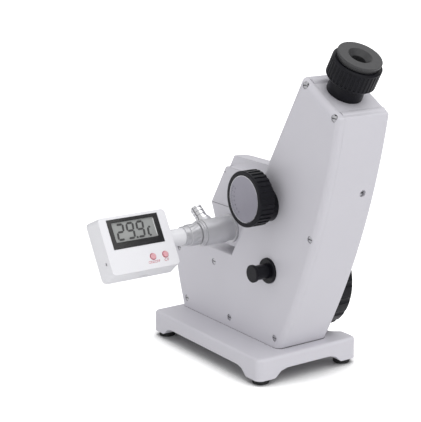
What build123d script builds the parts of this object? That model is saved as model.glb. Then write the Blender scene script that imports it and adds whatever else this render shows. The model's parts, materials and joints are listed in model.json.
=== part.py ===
from build123d import *
import math
import os

# An Abbe refractometer, in millimetres. While it is drawn, X runs from the prism side to the eyepiece side,
# Y = 0 is the middle plane of the housing and Z = 0 is the bench. At the end everything is moved together,
# so that the origin lies under the middle of the whole instrument, on the bench.

# ---- Clearances -------------------------------------------------------------------------------------------
running_gap = 0.05
part_gap = 0.4
lid_gap = 1.2
fit_gap = 0.02
tiny = 0.01

# ---- Base and feet ----------------------------------------------------------------------------------------
base_length = 135.0
base_width = 88.0
base_height = 15.7
base_side_offset = 2.5
base_corner_radius = 5.0
base_edge_radius = 2.4
base_wall = 7.0
base_deck = 5.0
base_bolt_inset = 22.0
base_bolt_y = 12.0
base_bolt_near_y = 10.0
arch_rise = 5.9
arch_leg = 16.0
arch_slope = 9.0
waist_depth = 9.0
waist_length = 54.0
waist_centre = 88.0
foot_radius = 6.0
foot_height = 3.8
foot_inset = 7.8
foot_screw_radius = 1.5
foot_screw_length = 9.0

# ---- Housing ----------------------------------------------------------------------------------------------
housing_width = 44.0
housing_wall = 4.0
cover_thickness = 5.0
cover_round = 4.4
tilt = 30.0
front_foot_x = 6.0
front_belly_x = -2.4
front_belly_rise = 24.6
shelf_front_x = -7.5
shelf_rise = 55.5
nose_x = 65.7
front_slope_length = 159.0
top_length = 44.9
user_foot_x = 124.5
user_arc_radius = 533.0
corner_round = 1.5
edge_round = 1.0
screw_head_radius = 2.2
screw_head_height = 1.4
screw_recess = 1.8
screw_shank_radius = 1.2
screw_length = 9.0
base_bolt_radius = 2.5
base_bolt_grip = 9.0
seat_screw_rise = 66.0
seat_screw_y = 14.6
seat_screw_grip = 5.0
port_half_width = 9.0
sight_hole_radius = 2.4
sight_hole_y = 9.8
sight_hole_rise = 116.5

# ---- Dispersion handwheel and compensator -----------------------------------------------------------------
wheel_x = 111.6
wheel_rise = 107.8
wheel_radius = 19.3
wheel_length = 12.2
wheel_standoff = 8.9
wheel_ribs = 32
wheel_rib_depth = 0.7
wheel_rim_wall = 3.0
dial_recess = 1.5
dial_thickness = 1.2
boss_radius = 11.8
boss_drop = 6.0
shaft_radius = 2.0
bush_wall = 2.5
pinion_teeth = 12
crown_teeth = 36
crown_pitch_radius = 8.2
crown_face = 2.0
crown_plate = 2.0
cell_radius = 6.6
cell_bore = 5.2
cell_length = 6.0
amici_length = 6.0
frame_plate = 3.0
frame_low = -30.0
frame_high = 64.0
frame_arm_front = -9.2
frame_front = -8.0
frame_back = 19.0
frame_screw_radius = 1.3
plate_near_y = 13.0
shelf_at = 54.0
lens_plate = 5.0
rib_width = 0.42

# ---- Telescope --------------------------------------------------------------------------------------------
eyepiece_setback = 20.0
neck_radius = 12.3
neck_height = 10.4
neck_bore = 10.0
grip_radius = 16.9
grip_height = 14.4
grip_flutes = 36
grip_lift = 0.15
cell_travel = 1.0
objective_rise = 46.0
cup_spigot = 3.0
tube_wall = 1.2
cup_radius = 15.2
cup_height = 4.2
cup_rim = 1.8
cup_neck_radius = 14.2
cup_dish_radius = 8.2
cup_dish_depth = 3.6
eye_hole_radius = 4.9
lens_cell_radius = 8.0
objective_radius = 7.0

# ---- Index handwheel, scale sector and swinging mirror ----------------------------------------------------
index_x = 94.6
index_rise = 39.2
index_radius = 38.6
index_length = 12.0
index_standoff = 4.0
index_lobes = 20
index_lobe_depth = 0.9
pivot_drop = 24.0
index_half_turn = 105.0
index_pinion_teeth = 12
sector_full_teeth = 96
sector_thickness = 3.0
sector_backlash = 0.35
pivot_shaft_radius = 2.5
pivot_boss_radius = 5.0
mirror_angle = 32.0
sector_y = 9.0
sector_spare = 7.4
mirror_length = 14.0
mirror_width = 13.0
mirror_thickness = 2.4

# ---- Condenser --------------------------------------------------------------------------------------------
condenser_x = 112.6
condenser_rise = 54.5
condenser_flange_radius = 9.0
condenser_flange_height = 1.8
condenser_stem_radius = 5.2
condenser_bore = 4.4
condenser_cap_radius = 6.2
condenser_cap_length = 2.4
condenser_front_wall = 1.2
condenser_reach = 14.6

# ---- Prism assembly ---------------------------------------------------------------------------------------
prism_width = 34.0
apex_x = 35.9
seam_rise = 88.0
seat_bottom_rise = 60.0
seat_front_angle = 22.5
lid_front_angle = 32.0
lid_height = 29.4
hood_height = 8.7
hood_near_y = -13.5
hood_crest = 5.0
saddle_height = 7.5
prism_glass_length = 26.0
prism_glass_width = 15.0
prism_glass_depth = 9.0
film_gap = 0.3
glass_inset = 26.0
hinge_lug_insets = (8.0, 18.0, 34.0, 44.0)
hinge_pin_head = 1.0
hinge_pin_radius = 2.0
hinge_barrel_radius = 4.2
nipple_radius = 4.4
nipple_bore = 2.4
nipple_length = 12.8
nipple_groove = 0.5
nipple_groove_width = 1.2
nipple_groove_pitch = 3.2
nipple_collar_radius = 5.2
nipple_collar_length = 1.6
nipple_root_radius = 3.4
nipple_root_length = 3.6
nipple_pad = 0.5
socket_nipple_inset = 11.4
socket_nipple_angle = 35.0
seat_nipple_inset = 22.5
seat_nipple_drop = 19.5
lid_nipple_insets = (16.0, 29.0)
lid_nipple_rise = 16.0
window_height = 15.0
window_width = 22.0
window_thickness = 1.4
window_drop = 2.0
recess_half = 15.0
recess_depth = 1.6
shield_width = 29.0
shield_thickness = 1.0
shield_hinge_rise = 13.2
shield_barrel_radius = 1.2
shield_pin_radius = 0.6
clamp_hook_radius = 7.0
clamp_wheel_radius = 5.0
clamp_plate = 1.5
clamp_stud_radius = 1.0
clamp_inset = 37.0
clamp_rise = 4.5
clamp_wheel_length = 5.5
clamp_release = 65.0
reflector_length = 19.0
reflector_width = 15.0
reflector_thickness = 2.2
reflector_face_drop = 13.5
reflector_pin_radius = 0.8

# ---- Thermometer ------------------------------------------------------------------------------------------
probe_x = 60.1
probe_rise = 72.9
sleeve_radius = 9.6
sleeve_length = 29.0
sleeve_step = 7.0
socket_spigot_radius = 6.5
sleeve_groove = 0.7
sleeve_flange = 1.4
socket_spigot = 6.0
chamber_radius = 5.0
stem_radius = 6.2
stem_seat = 6.4
probe_radius = 2.5
probe_reach = 4.0
stem_in_case = 5.0
collet_radius = 7.9
collet_length = 8.6
collar_radius = 7.1
collar_length = 4.0
collet_flutes = 18
collet_twist = 24.0
tommy_radius = 0.9
display_width = 53.6
display_height = 41.0
display_depth = 14.8
display_bevel = 1.7
display_tilt = 31.0
display_wall = 1.8
display_end_y = -69.6
display_back_depth = 3.0
bezel_width = 40.5
bezel_height = 21.3
bezel_depth = 0.9
bezel_margin = 2.15
bezel_shift = -0.4
lcd_width = 34.8
lcd_height = 15.0
lcd_thickness = 1.6
lcd_lift = 1.2
board_thickness = 2.0
button_radius = 2.0
button_gap = 0.1
button_proud = 0.9
button_margin = 8.5
button_spacing = 10.0
button_right_margin = 9.7
button_travel = 0.8

# ---- Worked-out places ------------------------------------------------------------------------------------
slope = math.radians(tilt)
deck_z = foot_height + base_height
near_y = -housing_width / 2
far_y = housing_width / 2
inner_near_y = near_y + cover_thickness
inner_far_y = far_y - housing_wall
shelf_z = deck_z + shelf_rise
wheel_z = deck_z + wheel_rise
index_z = deck_z + index_rise
condenser_z = deck_z + condenser_rise
seam_z = deck_z + seam_rise
probe_z = deck_z + probe_rise
base_y = -base_side_offset
top_front = (nose_x + front_slope_length * math.sin(slope), shelf_z + front_slope_length * math.cos(slope))
top_user = (top_front[0] + top_length * math.cos(slope), top_front[1] - top_length * math.sin(slope))
wheel_setback = ((wheel_x - nose_x) - (wheel_z - shelf_z) * math.tan(slope)) * math.cos(slope)


def front_x(z):
    """X of the housing's slanted front face at height z."""
    return nose_x + (z - shelf_z) * math.tan(slope)


def box_at(x0, x1, y0, y1, z0, z1):
    """A box between two corners."""
    return Pos((x0 + x1) / 2, (y0 + y1) / 2, (z0 + z1) / 2) * Box(x1 - x0, y1 - y0, z1 - z0)


def rod_y(x, z, y0, y1, radius):
    """A round bar along Y."""
    return Pos(x, (y0 + y1) / 2, z) * Rot(90, 0, 0) * Cylinder(radius, abs(y1 - y0))


def rod_x(y, z, x0, x1, radius):
    """A round bar along X."""
    return Pos((x0 + x1) / 2, y, z) * Rot(0, 90, 0) * Cylinder(radius, abs(x1 - x0))


def rod_z(x, y, z0, z1, radius):
    """A round bar along Z."""
    return Pos(x, y, (z0 + z1) / 2) * Cylinder(radius, abs(z1 - z0))


def slab_y(points, y0, y1):
    """A plate of the XZ outline given by points, between two Y planes."""
    outline = make_face(Polyline(*[(x, y0, z) for x, z in points], close=True))
    return extrude(outline, amount=y1 - y0, dir=(0, 1, 0))


def ring_of(solid, count, axis):
    """Copies of a solid round an axis."""
    return [solid.rotate(axis, 360.0 * n / count) for n in range(count)]


def gear_points(teeth, module, backlash):
    """A spur gear's outline round the origin, with straight flanks that leave the stated backlash."""
    pitch = module * teeth / 2
    half = math.pi / teeth / 2
    slack = backlash / pitch / 2
    root = pitch - 1.25 * module
    tip = pitch + 0.85 * module
    points = []
    for n in range(teeth):
        middle = 2 * math.pi * n / teeth
        flank = ((root, 1.45), (pitch, 1.0), (tip, 0.45))
        points += [(r, middle - half * w + slack) for r, w in flank]
        points += [(r, middle + half * w - slack) for r, w in reversed(flank)]
    return [(r * math.cos(a), r * math.sin(a)) for r, a in points]


def tilted(x, z):
    """A frame whose Z runs along the telescope and whose X runs towards the user."""
    return Location((x, 0, z), (0, tilt, 0))


# ---- Base -------------------------------------------------------------------------------------------------
base_near_y = base_y - base_width / 2
base_far_y = base_y + base_width / 2
foot_places = [
    (x, y)
    for x in (foot_inset, base_length - foot_inset)
    for y in (base_near_y + foot_inset, base_far_y - foot_inset)
]
cover_screw_places = [
    (149.1, 187.8),
    (178.4, 170.3),
    (157.1, 86.5),
    (-0.6, 45.3),
    (46.2, 45.2),
    (10.0, 7.4),
    (65.9, 7.3),
    (120.3, 7.2),
]
base_bolt_places = [
    (base_bolt_inset, -base_bolt_y),
    (base_bolt_inset, base_bolt_y),
    (base_length - base_bolt_inset, -base_bolt_near_y),
    (base_length - base_bolt_inset, base_bolt_y),
]


def arch(low, high, half_depth):
    """The space under one side of the base, drawn along X, with sloping ends."""
    top = foot_height + arch_rise
    points = [
        (low - arch_slope / 3, foot_height - 1),
        (low, foot_height + 0.2 * arch_rise),
        (low + arch_slope * 0.4, foot_height + 0.75 * arch_rise),
        (low + arch_slope, top),
        (high - arch_slope, top),
        (high - arch_slope * 0.4, foot_height + 0.75 * arch_rise),
        (high, foot_height + 0.2 * arch_rise),
        (high + arch_slope / 3, foot_height - 1),
    ]
    return slab_y(points, -half_depth, half_depth)


def make_base():
    """The cast base: a thin deck on walls with arches between four corner legs."""
    middle = Pos(base_length / 2, base_y, foot_height)
    outline = RectangleRounded(base_length, base_width, base_corner_radius)
    body = middle * extrude(outline, amount=base_height)
    body = fillet(body.edges().group_by(Axis.Z)[-1], base_edge_radius)
    pocket = RectangleRounded(base_length - 2 * base_wall, base_width - 2 * base_wall, base_corner_radius)
    half = waist_length / 2
    flare = waist_depth * 0.75
    waist_wall_y = base_far_y - waist_depth - base_wall
    behind_waist = box_at(
        waist_centre - half - flare - base_wall, base_length, waist_wall_y, base_far_y, 0, deck_z
    )
    body -= middle * extrude(pocket, amount=base_height - base_deck) - behind_waist
    for x, y in foot_places:
        body += rod_z(x, y, foot_height, deck_z - 1, foot_radius + 1.5)
    long_arch = arch(arch_leg, base_length - arch_leg, base_width)
    short_arch = Pos(0, base_y, 0) * Rot(0, 0, 90) * Pos(-base_width / 2, 0, 0) * arch(
        arch_leg, base_width - arch_leg, base_length * 2
    )
    body -= long_arch
    body -= short_arch
    waist = Polyline(
        (waist_centre - half - flare, base_far_y + 1),
        (waist_centre - half, base_far_y - waist_depth),
        (waist_centre + half, base_far_y - waist_depth),
        (waist_centre + half + flare, base_far_y + 1),
        close=True,
    )
    cutter = Pos(0, 0, foot_height - 1) * extrude(make_face(waist), amount=base_height + 2)
    upright = [e for e in cutter.edges() if abs(e.tangent_at(0).Z) > 0.9 and e.center().Y < base_far_y]
    body -= fillet(upright, waist_depth * 0.55)
    for x, y in foot_places:
        body -= rod_z(x, y, foot_height - 1, foot_height + foot_screw_length, foot_screw_radius)
    for x, y in base_bolt_places:
        body -= rod_z(x, y, foot_height, deck_z + 1, base_bolt_radius)
    return body


def make_feet():
    """Four round rubber feet with a hollow for the screw head."""
    feet = []
    for x, y in foot_places:
        foot = rod_z(x, y, 0, foot_height, foot_radius)
        foot = fillet(foot.edges().group_by(Axis.Z)[0], 0.8)
        foot -= rod_z(x, y, -1, foot_height / 2, foot_screw_radius * 2 + 0.3)
        foot -= rod_z(x, y, 0, foot_height + 1, foot_screw_radius)
        feet.append(foot)
    return feet


def make_foot_screws():
    """One pan-head screw up through each foot into the base."""
    screws = []
    for x, y in foot_places:
        head_top = foot_height / 2
        head = rod_z(x, y, head_top - 1.6, head_top, foot_screw_radius * 2)
        shank = rod_z(x, y, head_top, foot_height + foot_screw_length, foot_screw_radius)
        screws.append(head + shank)
    return screws


def make_base_bolts():
    """Four cap screws up through the base deck into the bottom wall of the housing."""
    bolts = []
    under = deck_z - base_deck
    for x, y in base_bolt_places:
        head = rod_z(x, y, under - base_bolt_radius * 1.6, under, base_bolt_radius * 1.7)
        socket = Pos(x, y, under - base_bolt_radius * 1.6) * extrude(RegularPolygon(2.0, 6), amount=2)
        bolts.append(head - socket + rod_z(x, y, under, under + base_bolt_grip, base_bolt_radius))
    return bolts


# ---- Housing ----------------------------------------------------------------------------------------------
def housing_outline(y):
    """The housing's side outline as a face at one Y."""
    foot = (front_foot_x, deck_z)
    belly = (front_belly_x, deck_z + front_belly_rise)
    shelf = (shelf_front_x, shelf_z)
    user_foot = (user_foot_x, deck_z)
    plane = Plane(origin=(0, y, 0), x_dir=(1, 0, 0), z_dir=(0, -1, 0))
    with BuildSketch(plane) as sketch:
        with BuildLine():
            ThreePointArc(foot, belly, shelf)
            Line(shelf, (nose_x, shelf_z))
            Line((nose_x, shelf_z), top_front)
            Line(top_front, top_user)
            RadiusArc(top_user, user_foot, user_arc_radius)
            Line(user_foot, foot)
        make_face()
    return sketch.sketch


neck_at = (
    top_front[0] + eyepiece_setback * math.cos(slope),
    top_front[1] - eyepiece_setback * math.sin(slope),
)
UP = (Align.CENTER, Align.CENTER, Align.MIN)
DOWN = (Align.CENTER, Align.CENTER, Align.MAX)
clear_hole = screw_shank_radius + 0.15
boss_reach = screw_shank_radius + 2.6
seat_screw_z = deck_z + seat_screw_rise
seat_screw_places = [
    Location((front_x(seat_screw_z), y, seat_screw_z), (0, tilt, 0)) for y in (-seat_screw_y, seat_screw_y)
]


def housing_block(y0, y1, face_y):
    """The housing's outline between two Y planes, rounded at its convex corners and along one face."""
    block = extrude(housing_outline(y0), amount=y1 - y0, dir=(0, 1, 0))
    corners = [
        edge
        for edge in block.edges()
        for x, z in (top_front, top_user, (shelf_front_x, shelf_z))
        if math.hypot(edge.center().X - x, edge.center().Z - z) < tiny
    ]
    block = fillet(corners, corner_round)
    rim = [e for e in block.edges() if abs(e.center().Y - face_y) < tiny and e.center().Z > deck_z + tiny]
    user_edge = max(rim, key=lambda e: e.center().X + e.length)
    block = fillet([user_edge], cover_round)
    rim = [e for e in block.edges() if abs(e.center().Y - face_y) < tiny and e.center().Z > deck_z + tiny]
    sharp = [e for e in rim if e.center().X < user_x(e.center().Z) - cover_round * 2]
    return fillet(sharp, edge_round)


def make_shell():
    """The cast housing: side outline, far wall and rim walls, open on the near side for the cover."""
    outer = housing_block(inner_near_y, far_y, far_y)
    hollow = extrude(
        offset(housing_outline(inner_near_y), amount=-housing_wall),
        amount=inner_far_y - inner_near_y,
        dir=(0, 1, 0),
    )
    body = outer - hollow
    bosses = [
        rod_y(x, deck_z + rise, inner_near_y, inner_far_y + 1, boss_reach) for x, rise in cover_screw_places
    ]
    body = body + bosses
    for x, rise in cover_screw_places:
        body -= rod_y(x, deck_z + rise, inner_near_y - 1, inner_near_y + screw_length, screw_shank_radius)
    for x, y in base_bolt_places:
        body += rod_z(x, y, deck_z, deck_z + base_bolt_grip, base_bolt_radius + 2.5)
        body -= rod_z(x, y, deck_z - 1, deck_z + base_bolt_grip - base_deck + 0.5, base_bolt_radius)
    return body


def shell_cuts(body):
    """The openings through the housing: eyepiece, prism light path, bushes, sight hole and condenser."""
    body -= tilted(*neck_at) * Cylinder(neck_bore, housing_wall * 3)
    port_z = seam_z - 6
    body -= box_at(nose_x, front_x(port_z) + 20, -port_half_width, port_half_width, port_z - 7, port_z + 7)
    body -= rod_y(index_x, index_z, inner_far_y - 1, far_y + 1, index_bush_radius)
    body -= rod_x(sight_hole_y, sight_hole_z, 150, 190, sight_hole_radius)
    for place in seat_screw_places:
        body -= place * Pos(-1, 0, 0) * Rot(0, 90, 0) * Cylinder(clear_hole, housing_wall + 4, align=UP)
    for x, z in frame_post_places:
        body -= telescope_frame * Pos(x, inner_far_y, z) * Rot(90, 0, 0) * Cylinder(frame_screw_radius, 5)
    return body


index_bush_radius = shaft_radius + bush_wall
sight_hole_z = deck_z + sight_hole_rise


def make_cover():
    """The near cover plate, its user-side edge rounded over, with counterbored screw holes."""
    body = housing_block(near_y, inner_near_y, near_y)
    body -= rod_y(wheel_x, wheel_z, near_y - 1, inner_near_y + 1, shaft_radius + bush_wall)
    body -= rod_y(condenser_x, condenser_z, near_y - 1, inner_near_y + 1, condenser_stem_radius + 1.2)
    for x, rise in cover_screw_places:
        z = deck_z + rise
        body -= rod_y(x, z, near_y - 1, near_y + screw_recess, screw_head_radius + 0.2)
        body -= rod_y(x, z, near_y - 1, inner_near_y + 1, clear_hole)
    return body


def make_cover_screws():
    """Eight slotted cheese-head screws, sunk in the cover."""
    screws = []
    for x, rise in cover_screw_places:
        z = deck_z + rise
        seat_y = near_y + screw_recess
        screw = rod_y(x, z, seat_y - screw_head_height, seat_y, screw_head_radius)
        screw += rod_y(x, z, seat_y, inner_near_y + screw_length - 1, screw_shank_radius)
        screw -= box_at(x - 3, x + 3, near_y - 1, seat_y - screw_head_height * 0.5, z - 0.35, z + 0.35)
        screws.append(screw)
    return screws


# ---- Prism assembly ---------------------------------------------------------------------------------------
prism_near_y = -prism_width / 2
prism_far_y = prism_width / 2
seat_bottom_z = deck_z + seat_bottom_rise
lid_top_z = seam_z + lid_height
hood_top_z = lid_top_z + hood_height
hinge_y = prism_far_y + hinge_barrel_radius + 0.6
seat_drop = seam_z - seat_bottom_z
lid_front_slope = math.tan(math.radians(lid_front_angle))
glass_middle_x = apex_x + glass_inset
hinge_lug_x = [apex_x + inset for inset in hinge_lug_insets]


def make_refraction_seat():
    """The fixed lower prism seat, standing off the slanted front of the housing."""
    foot_x = apex_x + seat_drop * math.tan(math.radians(seat_front_angle))
    points = [
        (apex_x, seam_z),
        (foot_x, seat_bottom_z),
        (front_x(seat_bottom_z), seat_bottom_z),
        (front_x(seam_z), seam_z),
    ]
    body = slab_y(points, prism_near_y, prism_far_y)
    half_l = prism_glass_length / 2
    half_w = prism_glass_width / 2
    body -= box_at(
        glass_middle_x - half_l,
        glass_middle_x + half_l,
        -half_w,
        half_w,
        seam_z - prism_glass_depth,
        seam_z + 1,
    )
    body -= box_at(
        glass_middle_x + half_l - 1,
        front_x(seam_z) + 1,
        -port_half_width + 3,
        port_half_width - 3,
        seam_z - 12,
        seam_z - 3,
    )
    for x0, x1 in (hinge_lug_x[0:2], hinge_lug_x[2:4]):
        lug = rod_x(hinge_y, seam_z, x0, x1, hinge_barrel_radius)
        lug += box_at(x0, x1, prism_far_y - 1, hinge_y, seam_z - hinge_barrel_radius, seam_z - 0.3)
        body += lug
        body -= rod_x(hinge_y, seam_z, x0 - 1, x1 + 1, hinge_pin_radius)
    body -= rod_y(probe_x, probe_z, prism_near_y - 1, prism_near_y + socket_spigot + 2, socket_spigot_radius)
    body -= rod_y(clamp_x, clamp_z - clamp_hook_radius, prism_near_y - 1, prism_near_y + 3, clamp_stud_radius)
    body -= rod_y(seat_nipple_x, seat_nipple_z, prism_far_y - 6, prism_far_y + 1, nipple_root_radius)
    for place in seat_screw_places:
        body -= place * Rot(0, -90, 0) * Cylinder(screw_shank_radius, seat_screw_grip, align=UP)
    return body


seat_nipple_x = apex_x + seat_nipple_inset
seat_nipple_z = seam_z - seat_nipple_drop


def make_prism_glass(above):
    """A measuring prism: a wedge whose polished face lies at the seam."""
    half_l = prism_glass_length / 2 - fit_gap
    half_w = prism_glass_width / 2 - fit_gap
    x0 = glass_middle_x - half_l
    x1 = glass_middle_x + half_l
    if above:
        face = seam_z + film_gap
        back = face + prism_glass_depth
        points = [(x0, face), (x1, face), (x1 - 4, back), (x0, face + prism_glass_depth * 0.6)]
    else:
        face = seam_z
        back = face - prism_glass_depth
        points = [(x0, face), (x1, face), (x1, back), (x0, face - prism_glass_depth * 0.7)]
    return slab_y(points, -half_w, half_w)


lid_bottom_z = seam_z + film_gap
lid_face_x = apex_x + lid_height / 2 * lid_front_slope
lid_face_z = seam_z + lid_height / 2
lid_face = Location((lid_face_x, 0, lid_face_z), (0, lid_front_angle, 0))
clamp_x = apex_x + clamp_inset
clamp_z = seam_z + clamp_rise
lid_nipple_places = [(apex_x + inset, seam_z + lid_nipple_rise) for inset in lid_nipple_insets]


def slant_x(z):
    """X of the lid's slanted front face at height z."""
    return apex_x + (z - seam_z) * lid_front_slope


def lid_points(bottom, top):
    """The lid's side outline between two heights, clear of the housing's slanted front."""
    return [
        (slant_x(bottom), bottom),
        (slant_x(top), top),
        (front_x(top) - lid_gap, top),
        (front_x(bottom) - lid_gap, bottom),
    ]


def make_hood():
    """The lid's raised hood: a crest near its near side that falls away in a curve to the far top edge."""
    low = lid_top_z - 1
    start_x = slant_x(low) - 1
    with BuildSketch(Plane(origin=(start_x, 0, 0), x_dir=(0, 1, 0), z_dir=(1, 0, 0))) as sketch:
        with BuildLine():
            Line((hood_near_y, low), (hood_near_y, hood_top_z))
            Line((hood_near_y, hood_top_z), (hood_near_y + hood_crest, hood_top_z))
            ThreePointArc(
                (hood_near_y + hood_crest, hood_top_z),
                (prism_far_y * 0.35, lid_top_z + hood_height * 0.62),
                (prism_far_y, lid_top_z),
            )
            Line((prism_far_y, lid_top_z), (prism_far_y, low))
            Line((prism_far_y, low), (hood_near_y, low))
        make_face()
    bar = extrude(sketch.sketch, amount=front_x(hood_top_z) - start_x, dir=(1, 0, 0))
    return bar & slab_y(lid_points(low, hood_top_z), prism_near_y, prism_far_y)


def saddle_section(y, height):
    """One section of the hollow slope beside the hood, rising towards the housing."""
    start = slant_x(lid_top_z) + 1.5
    end = front_x(lid_top_z) - lid_gap - 0.5
    low = lid_top_z - 0.5
    with BuildSketch(Plane(origin=(0, y, 0), x_dir=(1, 0, 0), z_dir=(0, -1, 0))) as sketch:
        with BuildLine():
            Line((start, low), (start, low + 0.6))
            ThreePointArc(
                (start, low + 0.6),
                ((start * 2 + end) / 3, low + 0.6 + height * 0.75),
                (end, low + 0.6 + height),
            )
            Line((end, low + 0.6 + height), (end, low))
            Line((end, low), (start, low))
        make_face()
    return sketch.sketch


def make_saddle():
    """The hollow slope between the lid's near top edge and the hood's near face."""
    reach = hood_near_y - prism_near_y
    steps = ((0.08, 0.02), (0.5, 0.18), (0.8, 0.5), (1.1, 1.0))
    sections = [saddle_section(prism_near_y + reach * along, saddle_height * rise) for along, rise in steps]
    return loft(sections, ruled=True)


def make_inlet_seat():
    """The hinged upper prism seat with its raised hood and the window in its slanted front."""
    body = slab_y(lid_points(lid_bottom_z, lid_top_z), prism_near_y, prism_far_y)
    body = body + make_hood() + make_saddle()
    body -= lid_face * Pos(-1, 0, 0) * Box(2 * recess_depth + 2, 2 * recess_half, 2 * recess_half)
    body -= lid_face * Pos(shield_barrel_radius, 0, shield_hinge_rise) * Box(4, 2 * recess_half, 3.6)
    body -= lid_face * Pos(0, 0, shield_hinge_rise) * Pos(shield_thickness, 0, 0) * Rot(90, 0, 0) * Cylinder(
        shield_pin_radius, 2 * recess_half + 6
    )
    window = lid_face * Pos(0, 0, -window_drop)
    body -= window * Pos(recess_depth, 0, 0) * Box(2 * window_thickness, window_width, window_height)
    body -= window * Pos(6, 0, 0) * Box(12, window_width - 3, window_height - 3)
    half_l = prism_glass_length / 2
    half_w = prism_glass_width / 2
    body -= box_at(
        glass_middle_x - half_l,
        glass_middle_x + half_l,
        -half_w,
        half_w,
        lid_bottom_z - 1,
        lid_bottom_z + prism_glass_depth,
    )
    x0 = hinge_lug_x[1] + part_gap
    x1 = hinge_lug_x[2] - part_gap
    body += rod_x(hinge_y, seam_z, x0, x1, hinge_barrel_radius)
    body += box_at(x0, x1, prism_far_y - 1, hinge_y, lid_bottom_z, seam_z + hinge_barrel_radius)
    body -= rod_x(hinge_y, seam_z, x0 - 1, x1 + 1, hinge_pin_radius + running_gap)
    body -= rod_y(clamp_x, clamp_z, prism_near_y - 1, prism_near_y + 8, shaft_radius + running_gap)
    for x, z in lid_nipple_places:
        body -= rod_y(x, z, prism_far_y - 6, prism_far_y + 1, nipple_root_radius)
    return body


def make_window():
    """The ground glass in the lid's slanted front."""
    depth = recess_depth + window_thickness / 2
    return lid_face * Pos(depth, 0, -window_drop) * Box(
        window_thickness, window_width - 2 * fit_gap, window_height - 2 * fit_gap
    )


def make_light_shield():
    """A thin plate on a hinge barrel that folds over the window."""
    low = -recess_half + 0.6
    plate = lid_face * Pos(shield_thickness, 0, (low + shield_hinge_rise) / 2) * Box(
        shield_thickness, shield_width, shield_hinge_rise - low
    )
    axis = lid_face * Pos(shield_thickness, 0, shield_hinge_rise) * Rot(90, 0, 0)
    barrel = axis * Cylinder(shield_barrel_radius, shield_width)
    lip = lid_face * Pos(shield_thickness / 2 - 0.4, 0, low + 0.7) * Box(1.2, 8, 1.4)
    return plate + barrel + lip - axis * Cylinder(shield_pin_radius + running_gap, shield_width + 2)


def make_shield_pin():
    """The pin of the light shield, held in the lid's cheeks."""
    axis = lid_face * Pos(shield_thickness, 0, shield_hinge_rise) * Rot(90, 0, 0)
    return axis * Cylinder(shield_pin_radius, 2 * recess_half + 3)


def make_hinge_pin():
    """The long pin on which the upper prism seat swings."""
    start = hinge_lug_x[0]
    pin = rod_x(hinge_y, seam_z, start, hinge_lug_x[3], hinge_pin_radius)
    return pin + rod_x(hinge_y, seam_z, start - 2 * hinge_pin_head, start, hinge_pin_radius + hinge_pin_head)


def nipple():
    """A hose nipple along Z: root, collar and a plain spigot with three ring grooves, bored through."""
    body = Cylinder(nipple_root_radius, nipple_root_length, align=DOWN)
    body += Cylinder(nipple_collar_radius, nipple_collar_length, align=UP)
    body += Cylinder(nipple_radius, nipple_length, align=UP)
    for n in range(3):
        groove = Cylinder(nipple_radius + 1, nipple_groove_width, align=DOWN)
        groove -= Cylinder(nipple_radius - nipple_groove, nipple_groove_width, align=DOWN)
        body -= Pos(0, 0, nipple_length - nipple_groove_pitch * (n + 0.5)) * groove
    return body - Cylinder(nipple_bore, 4 * nipple_length)


def make_seat_nipples():
    """Two hose nipples: one on the thermometer's sleeve, one on the far side of the lower prism seat."""
    on_sleeve = socket_nipple_axis * Pos(0, 0, sleeve_radius + nipple_pad) * nipple()
    on_seat = Pos(seat_nipple_x, prism_far_y, seat_nipple_z) * Rot(-90, 0, 0) * nipple()
    return [on_sleeve, on_seat]


def make_lid_nipples():
    """Two hose nipples on the far side of the upper prism seat."""
    return [Pos(x, prism_far_y, z) * Rot(-90, 0, 0) * nipple() for x, z in lid_nipple_places]


def make_clamp_wheel():
    """A fluted wheel on a short shaft, drawn released; its hook turns under a stud on the lower seat."""
    plate_y = prism_near_y - part_gap
    wheel_near = plate_y - clamp_plate - clamp_wheel_length
    wheel = rod_y(clamp_x, clamp_z, wheel_near, plate_y - clamp_plate, clamp_wheel_radius)
    flutes = [
        rod_y(
            clamp_x + clamp_wheel_radius * math.cos(a),
            clamp_z + clamp_wheel_radius * math.sin(a),
            wheel_near - 1,
            plate_y - clamp_plate - 1,
            0.55,
        )
        for a in [2 * math.pi * n / 18 for n in range(18)]
    ]
    wheel -= flutes
    hook_reach = clamp_hook_radius + clamp_stud_radius + 2.0
    hook = rod_y(clamp_x, clamp_z, plate_y - clamp_plate, plate_y, hook_reach)
    hook -= rod_y(clamp_x, clamp_z, plate_y - 3, plate_y + 1, clamp_hook_radius + clamp_stud_radius + 0.25)
    keep = [(clamp_x, clamp_z)]
    for angle in (-108, -90, -75, -62, -48):
        a = math.radians(angle + clamp_release)
        keep.append((clamp_x + 22 * math.cos(a), clamp_z + 22 * math.sin(a)))
    hook = hook & slab_y(keep, plate_y - 3, plate_y + 1)
    arm_end = clamp_hook_radius + 2
    arm = Pos(clamp_x, plate_y - clamp_plate / 2, clamp_z) * Rot(0, 55 - clamp_release, 0) * box_at(
        0, arm_end, -clamp_plate / 2, clamp_plate / 2, -1.6, 1.6
    )
    shaft = rod_y(clamp_x, clamp_z, plate_y - clamp_plate, prism_near_y + 7.5, shaft_radius)
    return wheel + hook + arm + shaft


def make_clamp_stud():
    """The stud on the lower prism seat that the clamp's hook holds."""
    stud_z = clamp_z - clamp_hook_radius
    return rod_y(clamp_x, stud_z, prism_near_y - 2.4, prism_near_y + 3, clamp_stud_radius)


reflector_face_x = apex_x + reflector_face_drop * math.tan(math.radians(seat_front_angle))
reflector_face = Location(
    (reflector_face_x, 0, seam_z - reflector_face_drop),
    (0, -seat_front_angle, 0),
)


def reflector_axis():
    """The reflector's hinge axis, along Y below the mirror."""
    return reflector_face * Pos(-reflector_thickness, 0, -reflector_length / 2 - 1.5) * Rot(90, 0, 0)


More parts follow.
